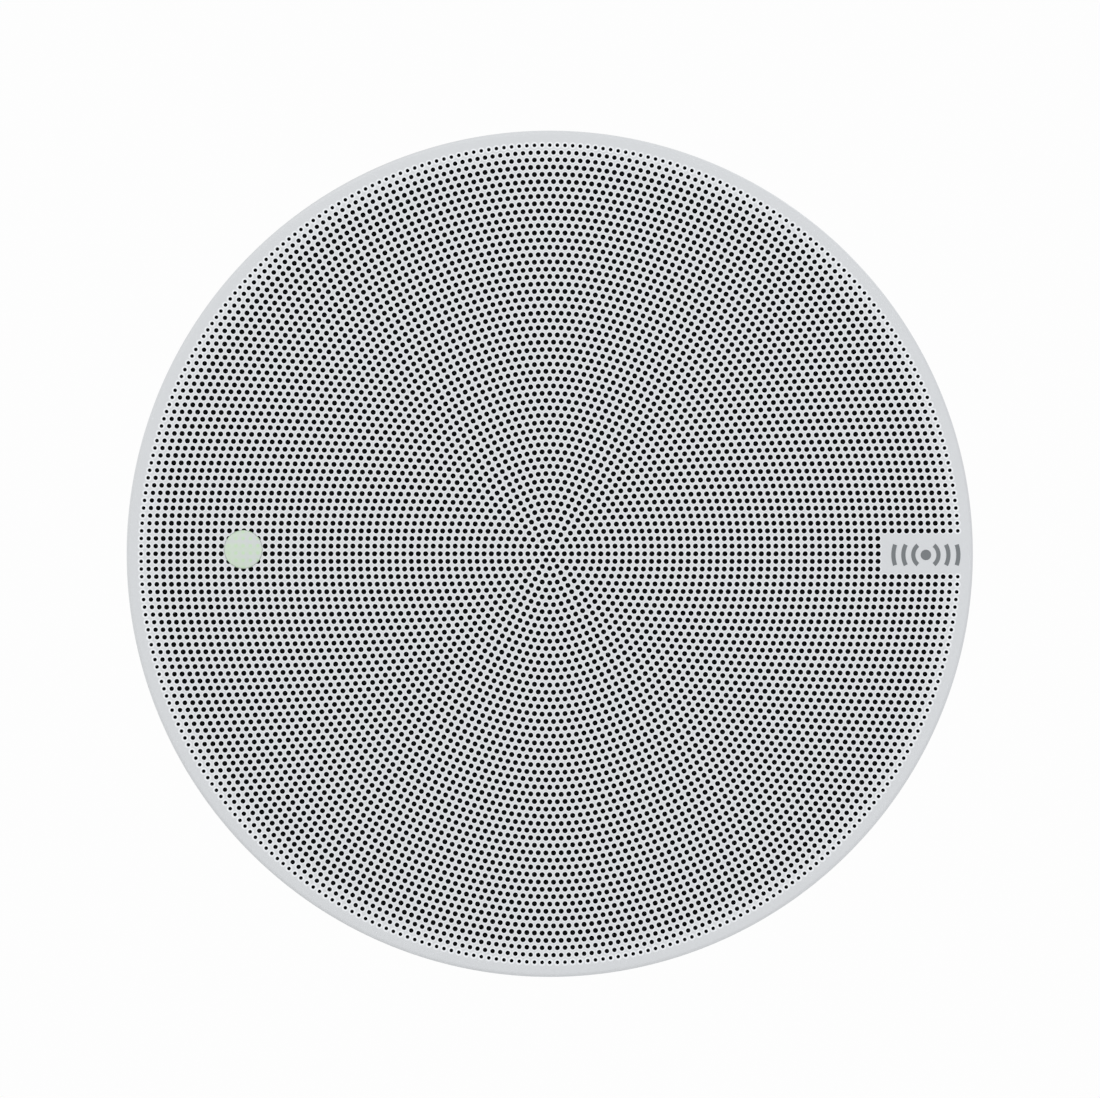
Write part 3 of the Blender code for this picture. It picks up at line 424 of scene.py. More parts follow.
def make_grille():
    up, down = zip(*(junctions(ring) for ring in range(RINGS + 1)))
    plate = Plate(FACE, FACE - SHEET)
    near = []
    for ring in range(RINGS + 1):
        radius = RIM_HOLE_RADII.get(ring, HOLE_RADIUS)
        for k in range(max(1, 6 * ring)):
            centre = hole_centre(ring, k)
            corners = cell(ring, k, up, down)
            outline = hole_outline(centre, corners, radius)
            if (centre - SENSOR).length < WINDOW_RADIUS + 0.9 * PITCH:
                near.append((corners, outline))
                continue
            around = [plate.point(*p) for p in corners]
            if is_plain(ring, k):
                plate.face(around)
                continue
            edge = [plate.point(*p) for p in outline]
            for j in range(6):
                a, middle, b = edge[2 * j], edge[2 * j + 1], edge[(2 * j + 2) % 12]
                plate.face([around[j], around[(j + 1) % 6], b, middle, a])
                plate.wall(middle, a)
                plate.wall(b, middle)

    # Round the sensor the window cuts through cells and holes.
    counted = {}
    for corners, _ in near:
        for a, b in each_side(corners):
            key = frozenset((plate.point(*a), plate.point(*b)))
            counted[key] = None if key in counted else (a, b)
    outline = [pair for pair in counted.values() if pair]
    window = circle_points(SENSOR, WINDOW_RADIUS, 72)
    holes = [hole for _, hole in near]

    def is_sheet(point):
        return (
            any(inside(point, corners) for corners, _ in near)
            and not inside(point, window)
            and not any(inside(point, hole) for hole in holes)
        )

    fill(plate, outline, [window, *holes], is_sheet)

    # The rim: from the outermost cells' corners to the face's edge, round the bend and down the skirt.
    vertices, faces = plate.vertices(), plate.faces
    edge = sorted(up[RINGS] + down[RINGS], key=lambda p: math.atan2(p.y, p.x) % (2 * math.pi))
    count = len(edge)
    bend_centre, lip = (GRILLE_RADIUS - BEND, FACE - BEND), 0.3
    profile = arc(bend_centre, BEND, 90, 0, 6)
    profile += [(GRILLE_RADIUS, SKIRT_END + lip), (GRILLE_RADIUS - lip, SKIRT_END)]
    profile += [(GRILLE_RADIUS - SHEET + lip, SKIRT_END), (GRILLE_RADIUS - SHEET, SKIRT_END + lip)]
    profile += arc(bend_centre, BEND - SHEET, 0, 90, 6)
    rows = [[2 * plate.point(*p) for p in edge]]
    for r, z in profile:
        rows.append(range(len(vertices), len(vertices) + count))
        for p in edge:
            direction = p.normalized()
            vertices.append((r * direction.x, r * direction.y, z))
    rows.append([n + 1 for n in rows[0]])
    for first, second in zip(rows, rows[1:]):
        for j in range(count):
            faces.append([first[j], second[j], second[(j + 1) % count], first[(j + 1) % count]])

    mesh = bpy.data.meshes.new("grille_perforated")
    mesh.from_pydata(vertices, [], faces)
    mesh.validate()
    place("grille_perforated", mesh, "white", "grille", body="grille_unit", smooth=35)


# --- Kept CAD nodes ---

KEPT = {
    "abs": ["front_baffle"],
    "foam": ["flange_gasket", "driver_gasket", "can_seal"],
    "nickel": [f"grille_magnet_{n}" for n in range(1, 5)],
    "nylon": ["sensor_holder", "tweeter_housing"],
    "board": ["sensor_board", "main_board"],
    "zinc": ["sensor_element", "top_plate", "pole_yoke"],
    "black_coat": ["driver_basket"],
    "ferrite": ["ring_magnet"],
    "copper": ["coil_former"],
    "alu": ["tweeter_post"],
    "felt": ["damping_pad"],
    "brass": [f"clamp_nut_{n}" for n in range(1, 5)],
}
BEVELS = {"front_baffle": 0.5, "flange_gasket": 0.4, "driver_basket": 0.3, "sensor_holder": 0.25}


def node_group(name, *kinds):
    """A geometry node group that passes a mesh through these kinds of node in turn."""
    group = bpy.data.node_groups.new(name, "GeometryNodeTree")
    for side in ("INPUT", "OUTPUT"):
        group.interface.new_socket("Geometry", in_out=side, socket_type="NodeSocketGeometry")
    nodes = [group.nodes.new(kind) for kind in ("NodeGroupInput", *kinds, "NodeGroupOutput")]
    for before, after in zip(nodes, nodes[1:]):
        group.links.new(before.outputs[0], after.inputs[0])
    return group, nodes[1:-1]


def make_joiner():
    """Joins the CAD's loose facets into one surface and drops their stored normals."""
    kinds = "RemoveAttribute", "MergeByDistance", "SetShadeSmooth"
    group, (drop, merge, _) = node_group("join_facets", *("GeometryNode" + kind for kind in kinds))
    drop.inputs["Name"].default_value = "custom_normal"
    merge.inputs["Distance"].default_value = 1e-6
    return group


def make_sharpener():
    """Has edges sharper than the sharp angle shaded sharp."""
    group, (sharpen,) = node_group("sharpen_edges", "GeometryNodeSetShadeSmooth")
    sharpen.domain = "EDGE"
    sharpen.inputs["Shade Smooth"].default_value = False
    between = group.nodes.new("GeometryNodeInputMeshEdgeAngle")
    sharp = group.nodes.new("FunctionNodeCompare")
    sharp.operation = "GREATER_THAN"
    sharp.inputs[1].default_value = math.radians(SHARP_ANGLE)
    group.links.new(between.outputs["Unsigned Angle"], sharp.inputs[0])
    group.links.new(sharp.outputs[0], sharpen.inputs["Selection"])
    return group


def add_bevel(piece, width):
    bevel = piece.modifiers.new("Edges", "BEVEL")
    bevel.width = width * MM
    bevel.segments = 2
    bevel.limit_method = "ANGLE"
    bevel.angle_limit = math.radians(SHARP_ANGLE)


def flatten_normals(piece):
    """Keeps flat faces evenly shaded beside rounded edges."""
    normals = piece.modifiers.new("Normals", "WEIGHTED_NORMAL")
    normals.keep_sharp = True


def dress_kept_nodes():
    joiner, sharpener = make_joiner(), make_sharpener()
    for material, names in KEPT.items():
        for name in names:
            node = NODES[name]
            node.data.materials.clear()
            node.data.materials.append(MATERIALS[material])
            node.modifiers.new("Join", "NODES").node_group = joiner
            flat = node.modifiers.new("Flats", "DECIMATE")
            flat.decimate_type = "DISSOLVE"
            flat.angle_limit = math.radians(0.4)
            if name in BEVELS:
                add_bevel(node, BEVELS[name])
            node.modifiers.new("Shading", "NODES").node_group = sharpener
            flatten_normals(node)


# --- Shapes ---


def span(node):
    """A CAD node's lowest and highest corners in bench coordinates."""
    low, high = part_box(node)
    return Vector((low[0], low[2], -high[1])) / MM, Vector((high[0], high[2], -low[1])) / MM


def middle(node):
    low, high = span(node)
    return (low + high) / 2


def joint_place(name):
    x, y, z = JOINTS[name]["pos_m"]
    return Vector((x, z, -y)) / MM


def turn_about(axis, degrees):
    return Matrix.Rotation(math.radians(degrees), 4, axis)


def soften(profile, fillet, steps=3):
    """A profile with its corners rounded, apart from those on the axis."""
    out = []
    for i, point in enumerate(profile):
        here = Vector(point)
        if here.x == 0:
            out.append(here)
            continue
        before, after = Vector(profile[i - 1]), Vector(profile[(i + 1) % len(profile)])
        start = here + (before - here).normalized() * min(fillet, (before - here).length * 0.45)
        end = here + (after - here).normalized() * min(fillet, (after - here).length * 0.45)
        for step in range(steps + 1):
            t = step / steps
            out.append(start * (1 - t) ** 2 + here * (2 * t * (1 - t)) + end * t**2)
    return out


def bead(half, depth, steps=8):
    """Points across a pressed groove, each a distance along the sheet and a depth."""
    places = [2 * step / steps - 1 for step in range(steps + 1)]
    return [(half * t, depth * (1 + math.cos(math.pi * t)) / 2) for t in places]


def sphere_radius(radius, rise):
    """The radius of the sphere whose cap has this radius and rise."""
    return (radius**2 + rise**2) / (2 * rise)


class Shape:
    """A mesh in the making, in bench coordinates."""

    def __init__(self):
        self.mesh = bmesh.new()

    def lathe(self, profile, segments=96, at=(0, 0, 0), thread=0.0):
        """Turns a (radius, height) profile about z. It runs down its outer side, from the axis and back to
        it, or else it is closed. With a thread pitch, a third number in a point is how far its radius falls
        in the groove."""
        turns = [2 * math.pi * j / segments for j in range(segments)]
        rows = []
        for r, z, *groove in profile:
            if r < 1e-4:
                rows.append([self.mesh.verts.new((at[0], at[1], at[2] + z))])
                continue
            row = []
            for turn in turns:
                radius = r
                if groove:
                    phase = (z / thread - turn / (2 * math.pi)) % 1
                    radius -= groove[0] * min(1.0, 2.4 * abs(phase - 0.5))
                place_at = (at[0] + radius * math.cos(turn), at[1] + radius * math.sin(turn), at[2] + z)
                row.append(self.mesh.verts.new(place_at))
            rows.append(row)
        pairs = list(zip(rows, rows[1:]))
        if len(rows[0]) > 1:
            pairs.append((rows[-1], rows[0]))
        for upper, lower in pairs:
            for j in range(segments):
                k = (j + 1) % segments
                sides = ((upper, j), (lower, j), (lower, k), (upper, k))
                corners = list(dict.fromkeys(row[number % len(row)] for row, number in sides))
                if len(corners) > 2:
                    self.mesh.faces.new(corners)
        return self

    def box(self, low, high, fillet=0.0, steps=2):
        made = bmesh.ops.create_cube(self.mesh, size=1)
        low, high = Vector(low), Vector(high)
        size = high - low
        for vert in made["verts"]:
            vert.co = low + Vector([(c + 0.5) * s for c, s in zip(vert.co, size)])
        if fillet:
            edges = list({edge for vert in made["verts"] for edge in vert.link_edges})
            bmesh.ops.bevel(self.mesh, geom=edges, offset=fillet, segments=steps, profile=0.5, affect="EDGES")
        return self

    def rod(self, start, end, radius, segments=32, fillet=0.0):
        """A cylinder between two points, with rounded ends."""
        along = Vector(end) - Vector(start)
        profile = [(0, along.length), (radius, along.length), (radius, 0), (0, 0)]
        part = Shape().lathe(soften(profile, fillet) if fillet else profile, segments)
        turn = Vector((0, 0, 1)).rotation_difference(along).to_matrix().to_4x4()
        return self.add(part, Matrix.Translation(start) @ turn)

    def stack(self, rows):
        """Closes loops of points, each given anticlockwise and above the one before, into a solid."""
        rows = [[self.mesh.verts.new(p) for p in row] for row in rows]
        self.mesh.faces.new(rows[0][::-1])
        self.mesh.faces.new(rows[-1])
        for lower, upper in zip(rows, rows[1:]):
            for j in range(len(lower)):
                k = (j + 1) % len(lower)
                self.mesh.faces.new((lower[j], lower[k], upper[k], upper[j]))
        return self

    def prism(self, outline, low, high, axis="z"):
        """An outline, given anticlockwise, extruded along an axis. Its numbers are y and z along x, and z
        and x along y."""
        shift = {"x": 1, "y": 2, "z": 0}[axis]
        rows = []
        for height in (low, high):
            row = [(a, b, height) for a, b in outline]
            rows.append([tuple(p[(i - shift) % 3] for i in range(3)) for p in row])
        return self.stack(rows)

    def slab(self, low, high, corner, rim=0.0):
        """A block whose corners are round as seen along z, with its two rims chamfered."""
        (x0, y0, z0), (x1, y1, z1) = low, high
        sides = ((x1, y1), (x0, y1), (x0, y0), (x1, y0))
        rows = []
        for z, inset in ((z0, rim), (z0 + rim, 0), (z1 - rim, 0), (z1, rim)):
            row = []
            for number, (x, y) in enumerate(sides):
                centre = (x - corner if x == x1 else x + corner, y - corner if y == y1 else y + corner)
                row += arc(centre, corner - inset, 90 * number, 90 * number + 90, 6)
            rows.append([(*p, z) for p in row])
        return self.stack(rows if rim else [rows[0], rows[-1]])

    def add(self, other, matrix=Matrix.Identity(4)):
        """Takes in another shape, moved by a matrix."""
        mesh = other.taken()
        mesh.transform(matrix)
        self.mesh.from_mesh(mesh)
        bpy.data.meshes.remove(mesh)
        return self

    def taken(self):
        """The shape as a mesh. The shape is used up."""
        mesh = bpy.data.meshes.new("shape")
        self.mesh.to_mesh(mesh)
        self.mesh.free()
        return mesh

    def combine(self, other, operation):
        pieces = [add_object("boolean", shape.taken()) for shape in (self, other)]
        modifier = pieces[0].modifiers.new("Boolean", "BOOLEAN")
        modifier.operation = operation
        modifier.solver = "EXACT"
        modifier.object = pieces[1]
        evaluated = pieces[0].evaluated_get(bpy.context.evaluated_depsgraph_get())
        result = bpy.data.meshes.new_from_object(evaluated)
        for piece in pieces:
            bpy.data.meshes.remove(piece.data)
        self.mesh = bmesh.new()
        self.mesh.from_mesh(result)
        bpy.data.meshes.remove(result)
        return self

    def cut(self, other):
        return self.combine(other, "DIFFERENCE")

    def fuse(self, other):
        return self.combine(other, "UNION")

    def place(self, name, material, node=None, body="housing", slot=None, fillet=0.0, smooth=SHARP_ANGLE):
        """Makes the shape a piece of the object."""
        if fillet:
            bmesh.ops.dissolve_degenerate(self.mesh, dist=1e-3, edges=self.mesh.edges)
            flats = [edge for edge in self.mesh.edges if edge.calc_face_angle(1) < math.radians(0.5)]
            bmesh.ops.dissolve_edges(self.mesh, edges=flats, use_verts=False)
        piece = place(name, self.taken(), material, node, body, slot, smooth)
        if fillet:
            add_bevel(piece, fillet)
        flatten_normals(piece)
        return piece


def turned_place(at, angle, facing=1):
    """The matrix that puts a shape at a point, turned about z, and facing away when facing is -1."""
    flip = Matrix.Rotation(math.pi, 4, "X") if facing < 0 else Matrix.Identity(4)
    return Matrix.Translation(at) @ Matrix.Rotation(angle, 4, "Z") @ flip


# --- Front pieces ---


def make_cloth():
    low, high = span("grille_cloth")
    window_radius = LENS_RADIUS + 0.15
    plate = Plate(high.z, low.z)

    def is_cloth(point):
        return point.length < high.x and (point - SENSOR).length > window_radius

    rim, window = circle_points((0, 0), high.x, 256), circle_points(SENSOR, window_radius, 64)
    fill(plate, [], [rim, window], is_cloth)
    mesh = bpy.data.meshes.new("acoustic_cloth")
    mesh.from_pydata(plate.vertices(), [], plate.faces)
    cloth = place("acoustic_cloth", mesh, "cloth", "grille_cloth", body="grille_unit")


def make_lens():
    """A cap with a moulded skin: its front is smooth, and its back carries rows of small lenses."""
    low, high = span("sensor_lens")
    crown, base, flange = high.z, low.z, high.x - SENSOR.x
    skin = 0.9
    rim, room = FACE + 0.15, LENS_RADIUS - skin
    sphere = sphere_radius(LENS_RADIUS, crown - rim)
    half = math.degrees(math.asin((LENS_RADIUS - 0.3) / sphere))
    profile = arc((0, crown - sphere), sphere, 90, 90 - half, 10)
    profile[0] = Vector((0, crown))
    profile += [(LENS_RADIUS, rim - 0.3), (LENS_RADIUS, base + skin), (flange, base + skin), (flange, base)]
    profile += [(room, base), (room, rim - skin)]
    rings = 5
    for number in range(rings, 0, -1):
        outer = room * number / rings
        height = rim - skin + (crown - rim) * (1 - (outer / LENS_RADIUS) ** 2)
        profile += [(outer - 0.02, height), (room * (number - 0.5) / rings, height - 0.18)]
    profile += [(0, crown - skin)]
    shape = Shape().lathe(profile, 96, (*SENSOR, 0))
    shape.place("sensor_lens_cap", "lens", "sensor_lens", smooth=30)


def make_mark():
    """The printed mark on the pad: a dot that sends out sound to both sides."""
    proud, sunk = 0.04, 0.2
    dot_radius, width, steps = 1.8, 1.45, 10
    waves = ((3.6, 50), (7.0, 27), (10.4, 18.5))
    mark = Shape().lathe([(0, proud), (dot_radius, proud), (dot_radius, -sunk), (0, -sunk)], 40)
    for side in (0, 180):
        for radius, half in waves:
            outer = arc((0, 0), radius + width, side - half, side + half, steps)
            mark.prism(outer + arc((0, 0), radius, side + half, side - half, steps), -sunk, proud)
    mark = Shape().add(mark, Matrix.Translation((128.85, -0.4, FACE)))
    mark.place("sound_mark", "ink", body="grille_unit", smooth=30)


# --- Screws ---


def screw_shape(head_radius, head_height, shank_radius, length, pitch, plain=0.0):
    """A pan-head screw with a cross recess. Its head rests at height 0 and faces up."""
    head = ((0, 1), (0.35, 0.985), (0.62, 0.90), (0.84, 0.70), (0.96, 0.42), (1, 0.15), (0.98, 0))
    profile = [(head_radius * r, head_height * z) for r, z in head] + [(shank_radius, 0)]
    if plain:
        profile += [(shank_radius, -plain), (shank_radius, -plain - 0.1)]
    groove, rows_per_pitch = 0.17 * shank_radius, 6
    first, last = -plain - pitch / 2, -length + shank_radius
    rows = int((first - last) / pitch * rows_per_pitch)
    profile += [(shank_radius, first - (first - last) * i / rows, groove) for i in range(rows + 1)]
    profile += [(shank_radius * 0.8, last - shank_radius * 0.25), (shank_radius * 0.4, -length), (0, -length)]
    screw = Shape().lathe(profile, 24, thread=pitch)
    deep, wide, reach = head_height * 0.72, head_radius * 0.17, head_radius * 0.62
    for turn in (0, 90):
        blade = Shape().box((-reach, -wide, head_height - deep), (reach, wide, head_height * 1.5))
        for vert in blade.mesh.verts:
            if vert.co.z < head_height:
                vert.co.x *= 0.45
        screw.cut(Shape().add(blade, turn_about("Z", turn)))
    return screw


def make_screws():
    # Head radius and height, shank radius, length, pitch, plain length; the way the head faces; the material
    kinds = {
        "driver_screw": ((3, 2.2, 1.7, 6.5, 0.9, 0), 1, "black_coat"),
        "can_screw": ((3, 2.2, 1.6, 8, 1.0, 0), -1, "zinc"),
        "clamp_screw": ((4.5, 3, 2.5, 69.6, 2.0, 10), 1, "zinc"),
    }
    for kind, (sizes, facing, material) in kinds.items():
        for number in range(1, 5):
            node = f"{kind}_{number}"
            low, high = span(node)
            at = middle(node)
            at.z = high.z - sizes[1] if facing > 0 else low.z + sizes[1]
            shape = Shape().add(screw_shape(*sizes), turned_place(at, math.atan2(at.y, at.x), facing))
            body = node if kind == "clamp_screw" else "housing"
            shape.place(f"{node}_threaded", material, node, body=body, smooth=50)


# --- Driver ---


def radial_blend(piece, inner, outer):
    """Bakes the piece's place into its mesh and works out, for each vertex, a weight that is 1 inside a
    radius and 0 outside a larger one; the weight is not used.
    """
    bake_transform(piece)
    for vert in piece.data.vertices:
        t = (math.hypot(vert.co.x, vert.co.z) / MM - inner) / (outer - inner)
        t = 1 - min(1.0, max(0.0, t))


def make_cone():
    """The paper's section is slightly curved, and has pressed ribs over its outer part."""
    edge, top = span("cone")[1].xz
    neck, bottom, skin, flat = 17, -19, 0.8, 4.4
    steps, ribs = 60, 5
    line = []
    for step in range(steps + 1):
        t = step / steps
        ribbed = 0.4 < t < 0.95
        rib = 0.35 * max(0.0, math.cos(2 * math.pi * ribs * (t - 0.45) / 0.5)) ** 4 if ribbed else 0
        height = bottom + (top - bottom) * t - 0.5 * math.sin(math.pi * t) + rib
        line.append((neck + (edge - flat - neck) * t, height))
    back = [(r, z - skin) for r, z in line[:-1]]
    profile = line + [(edge, top), (edge, top - skin), (edge - flat + 1, top - skin)] + back[::-1]
    Shape().lathe(profile, 144).place("cone_ribbed", "paper", "cone", body="moving_coil")


def make_surround():
    low, high = span("cone_surround")
    rubber, roll, centre, inner = 0.6, 4, 69.2, 60.8
    flat = high.z - roll - rubber
    profile = [(high.x, flat + rubber), (high.x, flat), *arc((centre, flat), roll, 8, 172, 24)]
    profile += [(inner, low.z), (inner, low.z + rubber), *arc((centre, flat), roll + rubber, 172, 8, 24)]
    mesh = Shape().lathe(profile, 144).taken()
    piece = place("surround_roll", mesh, "rubber", "cone_surround", body=None)
    radial_blend(piece, 62.5, 69)


def make_spider():
    """A waved disc whose waves fade out at both edges, and whose inner edge is raised on the coil."""
    low, high = span("spider")
    inner, outer, cloth, waves, steps = 17, high.x, 0.5, 5, 100
    line = []
    for step in range(steps + 1):
        t = step / steps
        swing = 1.3 * math.sin(2 * math.pi * waves * t) * math.sin(math.pi * t) ** 0.3
        line.append((inner + (outer - inner) * t, low.z + 2 * min(1, (1 - t) * 8) + swing))
    over = [(r, z + cloth) for r, z in line]
    mesh = Shape().lathe(line[::-1] + over, 120).taken()
    piece = place("spider_waved", mesh, "linen", "spider", body=None)
    radial_blend(piece, 22, 50)


def make_tweeter_dome():
    low, high = span("tweeter_dome")
    radius, skin = 10, 0.6
    crown, edge = high.z, low.z + skin
    sphere = sphere_radius(radius, crown - edge)
    half = math.degrees(math.asin(radius / sphere))
    over = arc((0, crown - sphere), sphere, 90, 90 - half, 16)
    under = arc((0, crown - sphere), sphere - skin, 90 - half, 90, 16)
    over[0], under[-1] = Vector((0, crown)), Vector((0, crown - skin))
    groove = [(radius + 0.5, edge - 0.25), (radius + 1.1, edge + 0.2), (radius + 1.7, edge)]
    profile = over[:-1] + groove + [(high.x, edge), (high.x, low.z)] + under
    Shape().lathe(profile, 96).place("tweeter_dome_silk", "silk", "tweeter_dome", body="dome")


def make_tweeter_guard():
    """A ring over the dome's rim, with a plug before the dome on three spokes."""
    low, high = span("tweeter_guard")
    plate, tip = low.z, high.z
    ring = [(high.x, plate + 0.9), (high.x, plate), (12.2, plate), (12.2, plate + 1.4)]
    ring += [(13.4, plate + 2.2), (16, plate + 2.3)]
    guard = Shape().lathe(soften(ring, 0.5), 120)
    under, over = plate + 2.7, tip - 0.4
    side = [(14.9, plate + 1), (14.9, over - 0.5), (14.2, over), (1.5, over)]
    side += [(1.5, under), (12.6, under), (13.2, under - 0.5), (13.2, plate + 1)]
    for angle in (90, 210, 330):
        spoke = Shape().add(Shape().prism(side, -0.7, 0.7, "x"), turn_about("Z", angle) @ SWAP_XY)
        bmesh.ops.recalc_face_normals(spoke.mesh, faces=spoke.mesh.faces)
        guard.fuse(spoke)
    plug = [(0, tip), (1.6, tip - 0.15), (2.9, tip - 0.7), (3.6, tip - 1.4)]
    plug += [(3.2, plate + 2.3), (0, plate + 2.2)]
    guard.fuse(Shape().lathe(plug, 64))
    guard.place("tweeter_guard_spoked", "nylon", "tweeter_guard", fillet=0.15)


# --- Clamps ---


def arm_shape():
    """A clamp arm about its pivot: the bar lies along y, and its foot's top faces the flange."""
    half, reach = 6, 32
    bottom, top, bar_top, foot_top = -9, 9, 0, 11
    outline = [(0, bottom), (reach, bottom), (reach, foot_top), (reach - 8, foot_top)]
    outline += [(reach - 8.6, bar_top + 3.4), (reach - 12.5, bar_top), (0, bar_top)]
    rounded = [outline[0], *soften(outline, 1.6, 5)[6:-6], outline[-1]]
    arm = Shape().prism(rounded, -half, half, "x")
    arm.fuse(Shape().lathe(soften([(0, top), (6.5, top), (6.5, bottom), (0, bottom)], 0.6), 48))
    # Hollows in both sides, as the low and high y and z of each
    hollows = [(9, 17, bottom + 1.6, bar_top - 1.6), (18.6, reach - 1.8, bottom + 1.6, bar_top - 1.6)]
    hollows += [(reach - 6.6, reach - 1.8, bar_top + 0.4, foot_top - 2)]
    pockets = Shape()
    for side in (-1, 1):
        near, far = sorted((side * (half - 2.2), side * (half + 1)))
        for y0, y1, z0, z1 in hollows:
            pockets.box((near, y0, z0), (far, y1, z1), 0.5)
    for number in range(3):
        y = reach - 6.4 + 2.2 * number
        pockets.box((-half - 1, y, foot_top - 0.5), (half + 1, y + 0.7, foot_top + 1))
    arm.cut(pockets)
    deep = 20
    arm.cut(Shape().rod((0, 0, -deep), (0, 0, deep), 2.8, 40))
    return arm.cut(Shape().rod((0, 0, -deep), (0, 0, bar_top), 4.5, 40))


def make_arms():
    for number in range(1, 5):
        name = f"clamp_arm_{number}"
        at = joint_place(f"arm_swing_{number}")
        shape = Shape().add(arm_shape(), turned_place(at, math.atan2(at.y, at.x)))
        shape.place(f"{name}_moulded", "nylon", name, body=name, fillet=0.25)


# --- Back can ---

CAN_WALL = 2
POCKET_FLOOR = 98.5
POCKET_SIDES = (-12, 35.5)
LEAD_HOLE = 5


def pocket_blocks(offset):
    """The four clamp pockets as cutters, with every pocket wall moved outwards by offset."""
    low, high = POCKET_SIDES
    near, far = (POCKET_FLOOR - offset, low - offset, -120), (160, high + offset, 20)
    blocks = Shape()
    for angle in (45, 135, 225, 315):
        blocks.add(Shape().box(near, far, 3 + offset, 5), turn_about("Z", angle))
    return blocks


def make_can():
    """A deep-drawn can with two grooves round its side and one on its back."""
    low, high = span("back_can")
    back, front, flange = low.z, high.z, high.x
    radius, sheet, corner, bend, groove = flange - 8, 2, 10, 1.5, 0.9
    corner_at = (radius - corner, back + corner)
    outside = [(0, front), (flange, front), (flange, front - sheet)]
    outside += arc((radius + bend, front - sheet - bend), bend, 90, 180, 4)
    for height in (-28, -68):
        outside += [(radius - depth, height - along) for along, depth in bead(3, groove)]
    outside += arc(corner_at, corner, 0, -90, 14)
    outside += [(98 - along, back + depth) for along, depth in bead(2.6, groove)]
    outside += [(0, back)]
    room = [(0, 0), (radius - CAN_WALL, 0), *arc(corner_at, corner - CAN_WALL, 0, -90, 8)]
    room += [(0, back + CAN_WALL)]
    can = Shape().lathe(outside, 192).cut(pocket_blocks(0))
    holes = Shape().rod((0, 0, back - 5), (0, 0, back + 5), LEAD_HOLE)
    for number in range(1, 5):
        x, y = middle(f"can_screw_{number}").xy
        holes.rod((x, y, front - 5), (x, y, front + 5), 2)
    can.cut(Shape().lathe(room, 192).cut(pocket_blocks(CAN_WALL))).cut(holes)
    can.place("back_can_drawn", "black_coat", "back_can")


# --- Amplifier box ---

GAP = 0.3
CASE_WALL = 2.5
CASE_CORNER = 2.2
KNUCKLE_RADIUS = 3.3
KNUCKLE_LENGTH = 8
PIN_RADIUS = 1.5


def hinge_rod(start, end, radius, segments=48, fillet=0.0):
    """A rod on the cover's hinge line, from one x to another."""
    line = joint_place("cover_hinge").yz
    return Shape().rod((start, *line), (end, *line), radius, segments, fillet)


def make_case():
    low, high = span("electronics_case")
    sink = span("heat_sink_cover")[1]
    pin_low, pin_high = span("hinge_pin")
    hinge = joint_place("cover_hinge")
    x, y, front = high.x, -low.y, high.z
    back, split, floor = sink.z + GAP, sink.x + GAP, front - CASE_WALL
    case = Shape().slab((-x, -y, back), (x, y, front), CASE_CORNER, 0.5)
    rooms = Shape()
    for left, right in ((-x + CASE_WALL, split - CASE_WALL / 2), (split + CASE_WALL / 2, x - CASE_WALL)):
        rooms.slab((left, -y + CASE_WALL, back - 5), (right, y - CASE_WALL, floor), 1.5)
    case.cut(rooms)

    # The cable entry, the hole for the driver's leads, the way between the rooms, and the cooling slots
    entry_x, entry_z = (split + x) / 2, (back + floor) / 2
    cuts = Shape().rod((entry_x, -y - 5, entry_z), (entry_x, -y + 5, entry_z), 8, 64)
    cuts.rod((0, 0, front - 10), (0, 0, front + 5), LEAD_HOLE)
    cuts.box((split - 5, 40, back - 5), (split + 5, 46, -116))
    for number in range(11):
        slot = -66 + 7.6 * number
        cuts.box((slot - 1.3, -y - 5, -117), (slot + 1.3, y + 5, -103), 1.25, 4)
    case.cut(cuts)
    deep = 0.4
    seam = Shape().slab((-x - 1, -y - 1, front - 3.5), (x + 1, y + 1, front - 3), 3)
    seam.cut(Shape().slab((deep - x, deep - y, front - 5), (x - deep, y - deep, front), CASE_CORNER - deep))
    case.cut(seam)

    webs, knuckles = Shape(), Shape()
    for a, b in ((pin_low.x, pin_low.x + KNUCKLE_LENGTH), (pin_high.x - KNUCKLE_LENGTH, pin_high.x)):
        webs.box((a + 0.5, y - 1, hinge.z), (b - 0.5, hinge.y, back + 6))
        knuckles.add(hinge_rod(a, b, KNUCKLE_RADIUS, fillet=0.3))
    webs.cut(Shape().box((0, 0, back - 10), (x, y + 0.5, back)))
    case.fuse(webs).fuse(knuckles).cut(hinge_rod(0, x + 5, PIN_RADIUS + GAP, 32))
    case.place("electronics_case_moulded", "grey_abs", "electronics_case")
    hinge_rod(pin_low.x, pin_high.x, PIN_RADIUS, 32, 0.3).place("hinge_pin_turned", "zinc", "hinge_pin")


